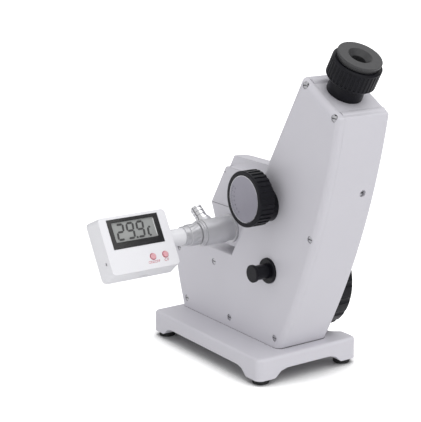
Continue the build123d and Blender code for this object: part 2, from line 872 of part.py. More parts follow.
def reflector_lugs():
    """Two ears on the lower prism seat that hold the reflector's pin."""
    ears = []
    for side in (-1, 1):
        ear = reflector_axis() * Pos(0, 0, side * (reflector_width / 2 + 1.6)) * Cylinder(2.0, 2.4)
        web = reflector_face * Pos(
            -reflector_thickness / 2 + 0.5, -side * (reflector_width / 2 + 1.6), -reflector_length / 2 - 1.5
        ) * Box(reflector_thickness + 1.5, 2.4, 3.6)
        ears.append(ear + web)
    return ears


def make_reflector():
    """The framed mirror that folds against the lower prism seat."""
    low = -reflector_length / 2 - 1.5
    plate = reflector_face * Pos(-reflector_thickness / 2 - 0.3, 0, 0.2) * Box(
        reflector_thickness, reflector_width, reflector_length
    )
    plate -= reflector_face * Pos(-0.3, 0, 0.8) * Box(2.4, reflector_width - 3, reflector_length - 4)
    barrel = reflector_axis() * Cylinder(1.7, reflector_width)
    web = reflector_face * Pos(-reflector_thickness / 2 - 0.3, 0, low + 1) * Box(
        reflector_thickness, reflector_width, 2
    )
    body = plate + barrel + web
    return body - reflector_axis() * Cylinder(reflector_pin_radius + running_gap, reflector_width + 1)


def make_reflector_mirror():
    """The silvered glass in the reflector's frame."""
    width = reflector_width - 3 - 2 * fit_gap
    length = reflector_length - 4 - 2 * fit_gap
    return reflector_face * Pos(-0.9, 0, 0.8) * Box(1.2, width, length)


def make_reflector_pin():
    """The reflector's pin, held in the two ears."""
    return reflector_axis() * Cylinder(reflector_pin_radius, reflector_width + 5.6)


# ---- Thermometer ------------------------------------------------------------------------------------------
sleeve_far_y = prism_near_y
sleeve_near_y = sleeve_far_y - sleeve_length
collet_far_y = sleeve_near_y - part_gap
collet_near_y = collet_far_y - collet_length - collar_length
stem_bore = stem_radius + running_gap
socket_nipple_axis = Location(
    (probe_x, sleeve_near_y + socket_nipple_inset, probe_z), (0, socket_nipple_angle - 90, 0)
)


def make_thermometer_socket():
    """The turned sleeve screwed into the lower prism seat, with a water chamber round the probe."""
    waist = sleeve_radius - sleeve_groove
    ring = sleeve_flange
    body = rod_y(probe_x, probe_z, sleeve_near_y, sleeve_far_y, waist)
    body += rod_y(probe_x, probe_z, sleeve_near_y + ring, sleeve_near_y + 2 * ring, sleeve_radius)
    body += rod_y(probe_x, probe_z, sleeve_near_y + 2.6 * ring, sleeve_far_y - sleeve_step, sleeve_radius)
    body += rod_y(probe_x, probe_z, sleeve_far_y - ring, sleeve_far_y, sleeve_radius + sleeve_groove)
    body += rod_y(probe_x, probe_z, sleeve_far_y - 1, sleeve_far_y + socket_spigot, socket_spigot_radius)
    pad_height = sleeve_radius + nipple_pad
    body += socket_nipple_axis * Cylinder(nipple_collar_radius + nipple_pad, pad_height, align=UP)
    body -= rod_y(probe_x, probe_z, sleeve_near_y - 1, sleeve_far_y + socket_spigot + 1, probe_radius + 0.5)
    body -= rod_y(probe_x, probe_z, sleeve_near_y - 1, sleeve_near_y + stem_seat, stem_bore)
    body -= rod_y(probe_x, probe_z, sleeve_near_y + stem_seat + 1, sleeve_far_y - 2, chamber_radius)
    return body - socket_nipple_axis * Cylinder(nipple_root_radius, pad_height + 1, align=UP)


def make_stem():
    """The thermometer's stem: a wide tube from the display case, then the thin probe."""
    wide_end = sleeve_near_y + stem_seat - 1
    body = rod_y(probe_x, probe_z, display_end_y - stem_in_case, wide_end, stem_radius)
    body += rod_y(probe_x, probe_z, wide_end - 1, prism_near_y + probe_reach, probe_radius)
    return body


def make_collet_nut():
    """The nut that grips the stem: a plain collar with two tommy holes, then a slant-fluted grip."""
    grip_near_y = collet_far_y - collet_length
    grip = rod_y(probe_x, probe_z, grip_near_y, collet_far_y, collet_radius)
    grip = fillet(grip.edges().filter_by(GeomType.CIRCLE), 0.5)
    axis = Axis((probe_x, 0, probe_z), (0, 1, 0))
    groove = Pos(probe_x, (grip_near_y + collet_far_y) / 2, probe_z + collet_radius) * Rot(
        0, 0, collet_twist
    ) * Box(0.7, collet_length * 1.4, 0.7)
    grip -= ring_of(groove, collet_flutes, axis)
    body = grip + rod_y(probe_x, probe_z, collet_near_y, grip_near_y + 1, collar_radius)
    body -= rod_y(probe_x, probe_z, collet_near_y - 1, collet_far_y + 1, stem_bore)
    for side in (-1, 1):
        body -= Pos(probe_x, collet_near_y + collar_length / 2, probe_z + side * collar_radius) * Cylinder(
            tommy_radius, 3
        )
    return body


display_face = Location((probe_x, display_end_y, probe_z), (0, -display_tilt, 0))


def display_block(width, height, depth, bevel):
    """A block with its face towards +X before tilting, narrower at the face than at the back."""
    front = Plane(origin=(depth / 2, 0, 0), x_dir=(0, 1, 0), z_dir=(1, 0, 0))
    back = Plane(origin=(-depth / 2, 0, 0), x_dir=(0, 1, 0), z_dir=(1, 0, 0))
    faces = [
        back * RectangleRounded(width + 2 * bevel, height + 2 * bevel, 3.5),
        front * RectangleRounded(width, height, 3.0),
    ]
    return loft(faces)


def display_place(block):
    """Tilts a block and hangs it on the end of the stem."""
    return display_face * Pos(0, -display_width / 2 - display_bevel, 0) * block


bezel_rise = display_height / 2 - bezel_height / 2 - bezel_margin
button_rise = button_margin - display_height / 2
button_length = button_proud + bezel_depth + lcd_thickness - button_travel - button_gap
right_button_y = display_width / 2 - button_right_margin
button_places = [right_button_y - button_spacing, right_button_y]


def make_display_case():
    """The white display case: a hollow front shell with a bezel recess, button holes and a sounder slot."""
    outer = display_block(display_width, display_height, display_depth, display_bevel)
    inner = Pos(-display_wall, 0, 0) * display_block(
        display_width - 2 * display_wall, display_height - 2 * display_wall, display_depth, display_bevel
    )
    body = outer - inner
    body -= Pos(-display_depth / 2, 0, 0) * Box(2 * display_back_depth, 80, 80)
    body -= Pos(display_depth / 2, bezel_shift, bezel_rise) * Box(2 * bezel_depth, bezel_width, bezel_height)
    body -= Pos(display_depth / 2, bezel_shift, bezel_rise + lcd_lift) * Box(8, lcd_width, lcd_height)
    for y in button_places:
        body -= Pos(display_depth / 2, y, button_rise) * Rot(0, 90, 0) * Cylinder(button_radius + 0.1, 8)
    side_hole = Pos(3.0, -display_width / 2, -10.8) * Rot(90, 0, 0) * Cylinder(1.1, 8)
    body -= side_hole
    slot = Pos(-3, 2, -display_height / 2) * Box(1.2, 6, 6)
    body -= slot
    body -= Pos(0, display_width / 2, 0) * Rot(90, 0, 0) * Cylinder(stem_radius, 12)
    return display_place(body)


def make_display_back():
    """The back cover of the display case."""
    outer = display_block(display_width, display_height, display_depth, display_bevel)
    keep = Pos(-display_depth / 2, 0, 0) * Box(2 * display_back_depth, 80, 80)
    body = outer & keep
    rim = Pos(-display_depth / 2 + display_back_depth, 0, 0) * (
        Box(2.4, display_width - 2 * display_wall - 1, display_height - 2 * display_wall - 1)
        - Box(3, display_width - 4 * display_wall, display_height - 4 * display_wall)
    )
    stem_hole = Pos(0, display_width / 2, 0) * Rot(90, 0, 0) * Cylinder(stem_radius, 12)
    return display_place(body + rim - stem_hole)


def make_bezel():
    """The black frame round the display glass."""
    body = Pos(display_depth / 2 - bezel_depth / 2 + 0.1, bezel_shift, bezel_rise) * Box(
        bezel_depth + 0.2, bezel_width - 2 * fit_gap, bezel_height - 2 * fit_gap
    )
    opening = Box(6, lcd_width - 0.6, lcd_height - 0.6)
    body -= Pos(display_depth / 2, bezel_shift, bezel_rise + lcd_lift) * opening
    return display_place(body)


def make_lcd():
    """The liquid-crystal panel behind the bezel."""
    front_x_local = display_depth / 2 - bezel_depth
    body = Pos(front_x_local - lcd_thickness / 2, bezel_shift, bezel_rise + lcd_lift) * Box(
        lcd_thickness, lcd_width - 2 * fit_gap, lcd_height - 2 * fit_gap
    )
    board = Pos(front_x_local - lcd_thickness - board_thickness / 2, bezel_shift, 0) * Box(
        board_thickness, bezel_width, display_height - 4 * display_wall
    )
    return display_place(body + board)


def make_button(y):
    """One round push button, standing a little proud of the case."""
    middle = display_depth / 2 + button_proud - button_length / 2
    body = Pos(middle, y, button_rise) * Rot(0, 90, 0) * Cylinder(button_radius, button_length)
    return display_place(body)


# ---- Eyepiece and telescope -------------------------------------------------------------------------------
neck_frame = tilted(*neck_at)
ring_bore = lens_cell_radius + tube_wall
shift = eyepiece_setback - wheel_setback
wheel_up = (wheel_x, wheel_z)
telescope_frame = tilted(*wheel_up)


def make_neck():
    """The fixed eyepiece tube, flanged on the top face and reaching into the housing."""
    inside = 14.0
    body = Pos(0, 0, -inside) * Cylinder(neck_bore, inside + neck_height, align=UP)
    body += Cylinder(neck_radius, neck_height, align=UP)
    body += Pos(0, 0, neck_height) * Cylinder(neck_bore + tube_wall, grip_height - cup_spigot, align=UP)
    body -= Pos(0, 0, -inside - 1) * Cylinder(lens_cell_radius + running_gap, inside + 60, align=UP)
    return neck_frame * body


def make_grip():
    """The knurled focusing ring, turning on the eyepiece tube."""
    start = neck_height + grip_lift
    body = Pos(0, 0, start) * Cylinder(grip_radius, grip_height, align=UP)
    body = chamfer(body.edges().filter_by(GeomType.CIRCLE), 0.9)
    flute = Pos(grip_radius + 0.25, 0, start + 1.6) * Cylinder(0.8, grip_height - 3.2, align=UP)
    body -= ring_of(flute, grip_flutes, Axis.Z)
    bore_radius = neck_bore + tube_wall + running_gap
    body -= Pos(0, 0, start - 1) * Cylinder(bore_radius, grip_height - 2.6 + 1, align=UP)
    body -= Pos(0, 0, start) * Cylinder(ring_bore, grip_height + 2, align=UP)
    return neck_frame * body


def make_eye_cup():
    """The flat eye cup on top of the focusing ring: a disc over a neck, countersunk round its eye hole."""
    start = neck_height + grip_lift + grip_height
    body = Pos(0, 0, start) * Cylinder(cup_neck_radius, cup_height, align=UP)
    disc = Pos(0, 0, start + cup_height - cup_rim) * Cylinder(cup_radius, cup_rim, align=UP)
    body += fillet(disc.edges().filter_by(GeomType.CIRCLE), cup_rim * 0.3)
    body += Pos(0, 0, start - cup_spigot) * Cylinder(ring_bore, cup_spigot, align=UP)
    body -= Pos(0, 0, start + cup_height - cup_dish_depth) * Cone(
        eye_hole_radius, cup_dish_radius, cup_dish_depth, align=UP
    )
    body -= Pos(0, 0, start - cup_spigot - 1) * Cylinder(eye_hole_radius, cup_height + cup_spigot, align=UP)
    return neck_frame * body


def make_eye_lens():
    """The eye lens in its sliding cell, inside the eyepiece tube."""
    top = neck_height + grip_height - cup_spigot - cell_travel - 2.0
    length = 12.0
    cell = Pos(0, 0, top - length) * Cylinder(lens_cell_radius, length, align=UP)
    cell -= Pos(0, 0, top - length - 1) * Cylinder(lens_cell_radius - tube_wall, length + 2, align=UP)
    return neck_frame * cell


def make_eye_lens_glass():
    """The eyepiece's lens pair."""
    top = neck_height + grip_height - cup_spigot - cell_travel - 2.0
    glasses = []
    for z in (top - 3.2, top - 10.2):
        glasses.append(neck_frame * Pos(0, 0, z) * Cylinder(lens_cell_radius - tube_wall, 2.4, align=UP))
    return glasses


def make_reticle():
    """The crosshair plate at the bottom of the eyepiece tube."""
    seat = Pos(0, 0, -12.0) * Cylinder(lens_cell_radius + running_gap, 1.6, align=UP)
    return neck_frame * seat


# ---- Dispersion handwheel and compensating prisms ---------------------------------------------------------
wheel_back_y = near_y - wheel_standoff
wheel_front_y = wheel_back_y - wheel_length
pinion_radius = crown_pitch_radius * pinion_teeth / crown_teeth
pinion_module = 2 * pinion_radius / pinion_teeth


def make_boss():
    """The black eccentric bush that carries the dispersion shaft."""
    body = rod_y(wheel_x, wheel_z - boss_drop, near_y - wheel_standoff + part_gap, near_y, boss_radius)
    body = fillet(body.edges().group_by(Axis.Y)[0], 1.0)
    body += rod_y(wheel_x, wheel_z, near_y - 1, inner_near_y + 1.5, shaft_radius + bush_wall)
    return body - rod_y(wheel_x, wheel_z, wheel_back_y - 1, inner_near_y + 3, shaft_radius + running_gap)


def make_wheel():
    """The ribbed black rim of the dispersion handwheel."""
    body = rod_y(wheel_x, wheel_z, wheel_front_y, wheel_back_y, wheel_radius)
    body = fillet(body.edges().filter_by(GeomType.CIRCLE), 0.6)
    gap = Pos(wheel_x, (wheel_front_y + wheel_back_y) / 2 + 1.2, wheel_z + wheel_radius + 0.35) * Box(
        1.9, wheel_length - 0.4, 2 * wheel_rib_depth + 0.7
    )
    body -= ring_of(gap, wheel_ribs, Axis((wheel_x, 0, wheel_z), (0, 1, 0)))
    body -= rod_y(wheel_x, wheel_z, wheel_front_y - 1, wheel_front_y + dial_recess, dial_radius)
    body -= rod_y(wheel_x, wheel_z, wheel_front_y - 1, wheel_back_y + 1, shaft_radius)
    return body


dial_radius = wheel_radius - wheel_rim_wall


def make_dial():
    """The bright dial disc, with a fine groove at its edge."""
    seat = wheel_front_y + dial_recess
    body = rod_y(wheel_x, wheel_z, seat - dial_thickness, seat, dial_radius - 0.05)
    return body


def make_dispersion_shaft():
    """The shaft from the handwheel to the pinion between the two crown rings."""
    pinion_y0 = -crown_pitch_radius - crown_face / 2
    pinion_y1 = -crown_pitch_radius + crown_face / 2
    body = rod_y(wheel_x, wheel_z, wheel_front_y + dial_recess, pinion_y0, shaft_radius)
    face = make_face(
        Polyline(*[(x, pinion_y0, z) for x, z in gear_points(pinion_teeth, pinion_module, 0.3)], close=True)
    )
    gear = extrude(face, amount=pinion_y1 - pinion_y0, dir=(0, 1, 0))
    gear = Pos(wheel_x, 0, wheel_z) * Rot(0, tilt, 0) * gear
    return body + gear


crown_floor = pinion_radius + 1.15 * pinion_module
crown_tip = pinion_radius - 0.85 * pinion_module
crown_outer = crown_pitch_radius + crown_face / 2 + 0.2
crown_inner = crown_pitch_radius - crown_face / 2 - 0.3


def make_cell(side):
    """One compensator cell: a crown ring with radial ribs and a journal. side is +1 above, -1 below."""
    ring = Pos(0, 0, crown_floor) * Cylinder(crown_outer, crown_plate, align=UP)
    journal = Pos(0, 0, crown_floor + crown_plate - 0.5) * Cylinder(cell_radius, cell_length, align=UP)
    rib_height = crown_floor - crown_tip + 0.3
    rib = Pos(0, -(crown_outer + crown_inner) / 2, crown_tip) * Box(
        rib_width, crown_outer - crown_inner, rib_height, align=UP
    )
    half_pitch = 360.0 / crown_teeth / 2
    ribs = [Rot(0, 0, half_pitch + 360.0 * n / crown_teeth) * rib for n in range(crown_teeth)]
    body = ring + journal + ribs
    body -= Cylinder(cell_bore, 60)
    if side < 0:
        body = body.mirror(Plane.XY)
    return telescope_frame * body


def make_amici(side):
    """The direct-vision prism cemented in a compensator cell."""
    start = crown_floor + crown_plate - 1
    glass = Pos(0, 0, start) * Cylinder(cell_bore, amici_length, align=UP)
    glass &= Pos(0, 0, start) * Box(2 * cell_bore, 1.5 * cell_bore, amici_length, align=UP)
    if side < 0:
        glass = glass.mirror(Plane.XY)
    return telescope_frame * glass


# ---- Optics frame -----------------------------------------------------------------------------------------
plate_far_y = plate_near_y + frame_plate
pivot = (wheel_x - pivot_drop * math.sin(slope), wheel_z - pivot_drop * math.cos(slope))
bearing_start = crown_floor + crown_plate + 1.2
frame_post_places = [(-4.0, 24.0), (15.0, -6.0), (12.0, 61.0)]


def make_optics_frame():
    """The frame that carries the compensator cells, objective, rhomboid prism and the scale pivot."""
    depth = plate_far_y - plate_near_y
    body = box_at(frame_front, frame_back, plate_near_y, plate_far_y, frame_low, frame_high)
    for side in (-1, 1):
        low = side * bearing_start
        high = side * (bearing_start + frame_plate)
        arm = box_at(
            frame_arm_front, 11.0, frame_arm_front, plate_near_y + 1, min(low, high), max(low, high)
        )
        body += arm
    body -= Cylinder(cell_radius + running_gap, 40)
    body += box_at(
        frame_arm_front, 11.0, frame_arm_front, plate_near_y + 1, objective_rise, objective_rise + lens_plate
    )
    body -= Pos(0, 0, objective_rise + lens_plate / 2) * Cylinder(objective_radius, lens_plate + 2)
    body += box_at(frame_arm_front, 14.0, -6.0, plate_near_y + 1, shelf_at, shelf_at + 2)
    body -= Pos(0, 0, shelf_at) * Cylinder(4.0, 8)
    post = inner_far_y - plate_near_y
    for x, z in frame_post_places:
        body += Pos(x, plate_near_y + post / 2, z) * Rot(90, 0, 0) * Cylinder(3.4, post)
    body += Pos(0, (plate_near_y + inner_far_y) / 2, -pivot_drop) * Rot(90, 0, 0) * Cylinder(
        pivot_boss_radius, post
    )
    body -= Pos(0, plate_near_y, -pivot_drop) * Rot(90, 0, 0) * Cylinder(pivot_shaft_radius + running_gap, 30)
    for x, z in frame_post_places:
        body -= Pos(x, plate_near_y, z) * Rot(90, 0, 0) * Cylinder(frame_screw_radius, 30)
    return telescope_frame * body


def make_frame_screws():
    """Screws that hold the optics frame to the far wall and the prism seat to the slanted front."""
    screws = []
    for place in seat_screw_places:
        shank = Cylinder(screw_shank_radius, housing_wall + seat_screw_grip, align=UP)
        head = Pos(0, 0, -screw_head_height) * Cylinder(screw_head_radius, screw_head_height, align=UP)
        screws.append(place * Pos(housing_wall, 0, 0) * Rot(0, -90, 0) * (head + shank))
    for x, z in frame_post_places:
        head = Pos(x, plate_near_y - 0.8, z) * Rot(90, 0, 0) * Cylinder(2.4, 1.6)
        shank_end = inner_far_y + 2.5
        shank = Pos(x, (plate_near_y + shank_end) / 2, z) * Rot(90, 0, 0) * Cylinder(
            frame_screw_radius, shank_end - plate_near_y
        )
        screws.append(telescope_frame * (head + shank))
    return screws


def make_objective():
    """The telescope's objective lens."""
    lens = Cylinder(objective_radius, lens_plate - 1, align=UP)
    return telescope_frame * Pos(0, 0, objective_rise + 0.5) * lens


def make_rhomboid():
    """The rhomboid prism that shifts the light from the compensator's axis to the eyepiece's axis."""
    half = 5.0
    low = shelf_at + 2
    high = low + 2 * half
    points = [(-half, low), (half, low), (shift + half, high), (shift - half, high)]
    return telescope_frame * slab_y(points, -half, half)


# ---- Scale sector and swinging mirror ---------------------------------------------------------------------
mesh_angle = math.atan2(index_z - pivot[1], index_x - pivot[0])
centre_distance = math.hypot(index_z - pivot[1], index_x - pivot[0])
sector_module = 2 * centre_distance / (index_pinion_teeth + sector_full_teeth)
sector_pitch = sector_module * sector_full_teeth / 2
sector_root = sector_pitch - 1.25 * sector_module
window_outer = sector_root - 4.0
window_inner = window_outer - 6.0
inner_rim = window_inner - 2.5
sector_reach = index_half_turn * index_pinion_teeth / sector_full_teeth + sector_spare
sector_start = math.degrees(mesh_angle) - sector_reach
sector_end = math.degrees(mesh_angle) + sector_reach * 2


def wedge(start, end, y0, y1):
    """A wedge round the pivot between two angles in degrees, to cut sectors with."""
    reach = 80.0
    points = [pivot]
    steps = 4
    for n in range(steps + 1):
        a = math.radians(start + (end - start) * n / steps)
        points.append((pivot[0] + reach * math.cos(a), pivot[1] + reach * math.sin(a)))
    return slab_y(points, y0, y1)


def make_sector():
    """The toothed sector with its window, arms, hub and shaft."""
    y0 = sector_y
    y1 = sector_y + sector_thickness
    points = gear_points(sector_full_teeth, sector_module, sector_backlash)
    rim = Pos(pivot[0], 0, pivot[1]) * Rot(0, -math.degrees(mesh_angle), 0) * slab_y(points, y0, y1)
    rim -= rod_y(*pivot, y0 - 1, y1 + 1, inner_rim)
    rim &= wedge(sector_start, sector_end, y0 - 1, y1 + 1)
    window = rod_y(*pivot, y0 - 1, y1 + 1, window_outer) - rod_y(*pivot, y0 - 1, y1 + 1, window_inner)
    rim -= window & wedge(sector_start + 4, sector_end - 4, y0 - 1, y1 + 1)
    arms = []
    for angle in (sector_start + 6, sector_end - 6):
        arm = box_at(0, inner_rim + 1, y0, y1, -2.5, 2.5)
        arms.append(Pos(pivot[0], 0, pivot[1]) * Rot(0, -angle, 0) * arm)
    body = rim + arms + rod_y(*pivot, y0, y1, pivot_boss_radius)
    body += rod_y(*pivot, -mirror_width, inner_far_y - 0.5, pivot_shaft_radius)
    return body - mirror_block(mirror_thickness + 6)




def mirror_block(thickness):
    """The mirror's place: a plate on the flat of the pivot shaft."""
    place = Pos(pivot[0], -mirror_width / 2 - 0.5, pivot[1]) * Rot(0, -mirror_angle, 0)
    return place * Pos(0, 0, thickness / 2) * Box(mirror_length, mirror_width, thickness)


def make_swing_mirror():
    """The mirror that turns with the scale."""
    return mirror_block(mirror_thickness)


def make_scale_glass():
    """The glass scale in the sector's window."""
    y0 = sector_y + 0.75
    y1 = y0 + 1.5
    ring = rod_y(*pivot, y0, y1, window_outer) - rod_y(*pivot, y0, y1, window_inner)
    return ring & wedge(sector_start + 4, sector_end - 4, y0 - 1, y1 + 1)


def make_index_bush():
    """The bush that carries the index handwheel's shaft through the far wall."""
    inner_end = sector_y + sector_thickness + 1.5
    outer_end = far_y + index_standoff - 0.5
    body = rod_y(index_x, index_z, inner_end, outer_end, index_bush_radius)
    body += rod_y(index_x, index_z, far_y, far_y + 2, index_bush_radius + 3.5)
    return body - rod_y(index_x, index_z, 0, 40, shaft_radius + running_gap)


def make_index_wheel():
    """The large scalloped index handwheel on the far side, dished in its outer face."""
    y0 = far_y + index_standoff
    y1 = y0 + index_length
    body = rod_y(index_x, index_z, y0, y1, index_radius)
    body = fillet(body.edges().filter_by(GeomType.CIRCLE), 1.5)
    scallop_radius = 4.0
    scallop = Pos(index_x, (y0 + y1) / 2, index_z + index_radius + scallop_radius - index_lobe_depth) * Rot(
        90, 0, 0
    ) * Cylinder(scallop_radius, index_length + 2)
    body -= ring_of(scallop, index_lobes, Axis((index_x, 0, index_z), (0, 1, 0)))
    body -= rod_y(index_x, index_z, y1 - 3.0, y1 + 1, index_radius - 6)
    body += rod_y(index_x, index_z, y1 - 4.0, y1 - 1.0, 8.0)
    return body - rod_y(index_x, index_z, y0 - 1, y1 - 2, shaft_radius)


def make_index_shaft():
    """The index shaft with its pinion in mesh with the sector."""
    y0 = sector_y
    y1 = sector_y + sector_thickness
    body = rod_y(index_x, index_z, y0, far_y + index_standoff + index_length - 2, shaft_radius)
    points = gear_points(index_pinion_teeth, sector_module, sector_backlash)
    turn = math.degrees(mesh_angle) + 180 + 180.0 / index_pinion_teeth
    gear = Pos(index_x, 0, index_z) * Rot(0, -turn, 0) * slab_y(points, y0 - 0.5, y1 + 0.5)
    return body + gear


def make_scale_prism():
    """The small prism behind the scale glass that turns its light up to the eyepiece."""
    y0 = sector_y + sector_thickness + 0.8
    return box_at(condenser_x - 4, condenser_x + 4, y0, inner_far_y, condenser_z - 4, condenser_z + 4)


# ---- Condenser and sight screw ----------------------------------------------------------------------------
condenser_front_y = near_y - condenser_reach


def make_condenser_flange():
    """The black flange on the cover that the condenser turns in."""
    body = rod_y(condenser_x, condenser_z, near_y - condenser_flange_height, near_y, condenser_flange_radius)
    body = fillet(body.edges().group_by(Axis.Y)[0], 0.6)
    body += rod_y(condenser_x, condenser_z, near_y - 1, inner_near_y + 1, condenser_stem_radius + 1.2)
    bore_radius = condenser_stem_radius + running_gap
    return body - rod_y(condenser_x, condenser_z, near_y - 5, inner_near_y + 2, bore_radius)


def make_condenser():
    """The condenser tube with its wider closed cap, holding a lens."""
    body = rod_y(condenser_x, condenser_z, condenser_front_y, inner_near_y + 4, condenser_stem_radius)
    cap_end = condenser_front_y + condenser_cap_length
    cap = rod_y(condenser_x, condenser_z, condenser_front_y, cap_end, condenser_cap_radius)
    body += fillet(cap.edges().filter_by(GeomType.CIRCLE), 0.5)
    body += rod_y(condenser_x, condenser_z, inner_near_y + 1.5, inner_near_y + 3, condenser_stem_radius + 1.0)
    bore_start = condenser_front_y + condenser_front_wall
    return body - rod_y(condenser_x, condenser_z, bore_start, inner_near_y + 5, condenser_bore)




def make_condenser_lens():
    """The condenser's lens, at the inner end of its tube."""
    lens_y = inner_near_y + 0.5
    return rod_y(condenser_x, condenser_z, lens_y, lens_y + 3.0, condenser_bore)


def make_sight_screw():
    """The slotted adjusting screw behind the small hole in the user side."""
    face_x = user_x(sight_hole_z)
    body = rod_x(sight_hole_y, sight_hole_z, face_x - 9, face_x - 2.0, sight_hole_radius - running_gap)
    slot_low = sight_hole_z - 0.4
    slot_high = sight_hole_z + 0.4
    return body - box_at(face_x - 3, face_x, sight_hole_y - 3, sight_hole_y + 3, slot_low, slot_high)


def user_x(z):
    """X of the curved user-side face at height z."""
    foot_z = deck_z
    chord_x = top_user[0] - user_foot_x
    chord_z = top_user[1] - foot_z
    chord = math.hypot(chord_x, chord_z)
    rise = math.sqrt(user_arc_radius ** 2 - (chord / 2) ** 2)
    centre_x = (top_user[0] + user_foot_x) / 2 - rise * chord_z / chord
    centre_z = (top_user[1] + foot_z) / 2 + rise * chord_x / chord
    return centre_x + math.sqrt(user_arc_radius ** 2 - (z - centre_z) ** 2)


def build():
    """Every piece under its name."""
    seat = make_refraction_seat()
    for ear in reflector_lugs():
        seat += ear
    seat -= reflector_axis() * Cylinder(reflector_pin_radius, reflector_width + 8)
    return {
        "base": make_base(),
        "feet": make_feet(),
        "foot_screws": make_foot_screws(),
        "base_bolts": make_base_bolts(),
        "shell": shell_cuts(make_shell()),
        "side_cover": make_cover(),
        "cover_screws": make_cover_screws(),
        "refraction_seat": seat,
        "refraction_prism": make_prism_glass(False),
        "hinge_pin": make_hinge_pin(),
        "clamp_stud": make_clamp_stud(),
        "seat_nipples": make_seat_nipples(),
        "reflector_pin": make_reflector_pin(),
        "thermometer_socket": make_thermometer_socket(),
        "optics_frame": make_optics_frame(),
        "frame_screws": make_frame_screws(),
        "objective_lens": make_objective(),
        "rhomboid_prism": make_rhomboid(),
        "scale_prism": make_scale_prism(),
        "reticle": make_reticle(),
        "eyepiece_tube": make_neck(),
        "dispersion_bush": make_boss(),
        "index_bush": make_index_bush(),
        "condenser_flange": make_condenser_flange(),
        "inlet_seat": make_inlet_seat(),
        "inlet_prism": make_prism_glass(True),
        "inlet_window": make_window(),
        "lid_nipples": make_lid_nipples(),
        "shield_pin": make_shield_pin(),
        "light_shield": make_light_shield(),
        "clamp_wheel": make_clamp_wheel(),
        "reflector_frame": make_reflector(),
        "reflector_mirror": make_reflector_mirror(),
        "dispersion_wheel": make_wheel(),
        "dispersion_dial": make_dial(),
        "dispersion_shaft": make_dispersion_shaft(),
        "upper_cell": make_cell(1),
        "upper_prism": make_amici(1),
        "lower_cell": make_cell(-1),
        "lower_prism": make_amici(-1),
        "index_wheel": make_index_wheel(),
        "index_shaft": make_index_shaft(),
        "scale_sector": make_sector(),
        "scale_glass": make_scale_glass(),
        "swing_mirror": make_swing_mirror(),
        "focus_ring": make_grip(),
        "eye_cup": make_eye_cup(),
        "eye_lens_cell": make_eye_lens(),
        "eye_lenses": make_eye_lens_glass(),
        "condenser_tube": make_condenser(),
        "condenser_lens": make_condenser_lens(),
        "sight_screw": make_sight_screw(),
        "thermometer_stem": make_stem(),
        "collet_nut": make_collet_nut(),
        "display_case": make_display_case(),
        "display_back": make_display_back(),
        "display_bezel": make_bezel(),
        "display_panel": make_lcd(),
        "left_button": make_button(button_places[0]),
        "right_button": make_button(button_places[1]),
    }


def as_solids(piece):
    """The separate solids of one node."""
    if isinstance(piece, list):
        return [solid for item in piece for solid in as_solids(item)]
    return piece.solids()


nodes = {name: as_solids(piece) for name, piece in build().items()}
whole = Compound([solid for solids in nodes.values() for solid in solids]).bounding_box()
origin_shift = Pos(-(whole.min.X + whole.max.X) / 2, -(whole.min.Y + whole.max.Y) / 2, -whole.min.Z)
os.makedirs("parts", exist_ok=True)
for name, solids in nodes.items():
    placed = [origin_shift * solid for solid in solids]
    export_step(Compound(placed) if len(placed) > 1 else placed[0], f"parts/{name}.step")
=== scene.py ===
import json
import math

import bmesh
import bpy
from mathutils import Matrix, Vector


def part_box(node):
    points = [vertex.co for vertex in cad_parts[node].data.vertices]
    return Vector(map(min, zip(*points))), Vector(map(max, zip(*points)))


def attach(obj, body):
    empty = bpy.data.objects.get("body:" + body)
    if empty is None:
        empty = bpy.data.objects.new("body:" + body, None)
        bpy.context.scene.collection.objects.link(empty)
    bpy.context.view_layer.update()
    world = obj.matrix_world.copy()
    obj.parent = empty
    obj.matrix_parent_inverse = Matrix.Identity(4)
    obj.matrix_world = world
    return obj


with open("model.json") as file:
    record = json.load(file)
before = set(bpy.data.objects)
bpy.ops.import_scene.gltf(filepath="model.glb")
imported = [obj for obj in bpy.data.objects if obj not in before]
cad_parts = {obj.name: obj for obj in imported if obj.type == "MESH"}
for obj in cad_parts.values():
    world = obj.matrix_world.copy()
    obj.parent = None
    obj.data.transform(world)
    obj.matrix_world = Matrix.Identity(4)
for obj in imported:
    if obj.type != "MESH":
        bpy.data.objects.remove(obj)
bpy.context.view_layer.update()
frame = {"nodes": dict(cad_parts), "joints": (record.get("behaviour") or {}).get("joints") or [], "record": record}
nodes = frame["nodes"]
joints = {joint["name"]: joint for joint in frame["joints"]}
scene = bpy.context.scene

MM = 0.001

# ---- Camera and light, from the photograph's viewing angle ------------------------------------------------
CAMERA_AZIMUTH = 55.51
CAMERA_ELEVATION = 13.95
CAMERA_DISTANCE = 0.95433
CAMERA_AIM = Vector((-0.07794, 0.04005, 0.09346))
CAMERA_LENS = 107.0

FLOOR_SIZE = 14.0
FLOOR_ALBEDO = 0.90
FLOOR_SHADE = 0.50
FLOOR_LIFT = 0.95
SHADOW_REACH = 0.05
SHADOW_CORE = 0.45
SHADOW_EDGE = 0.84
AMBIENT = 0.74
AMBIENT_COLOR = (0.98, 0.98, 1.0, 1.0)
WHITE = (1.0, 1.0, 1.0, 1.0)
BACKDROP = 1.0
WALL_LOW = 0.12
WALL_HIGH = 0.42
WALL_DARK = 0.12


def direction(azimuth, elevation):
    """The unit vector towards a viewer at that azimuth and elevation, in degrees."""
    a = math.radians(azimuth)
    e = math.radians(elevation)
    return Vector((math.sin(a) * math.cos(e), -math.cos(a) * math.cos(e), math.sin(e)))


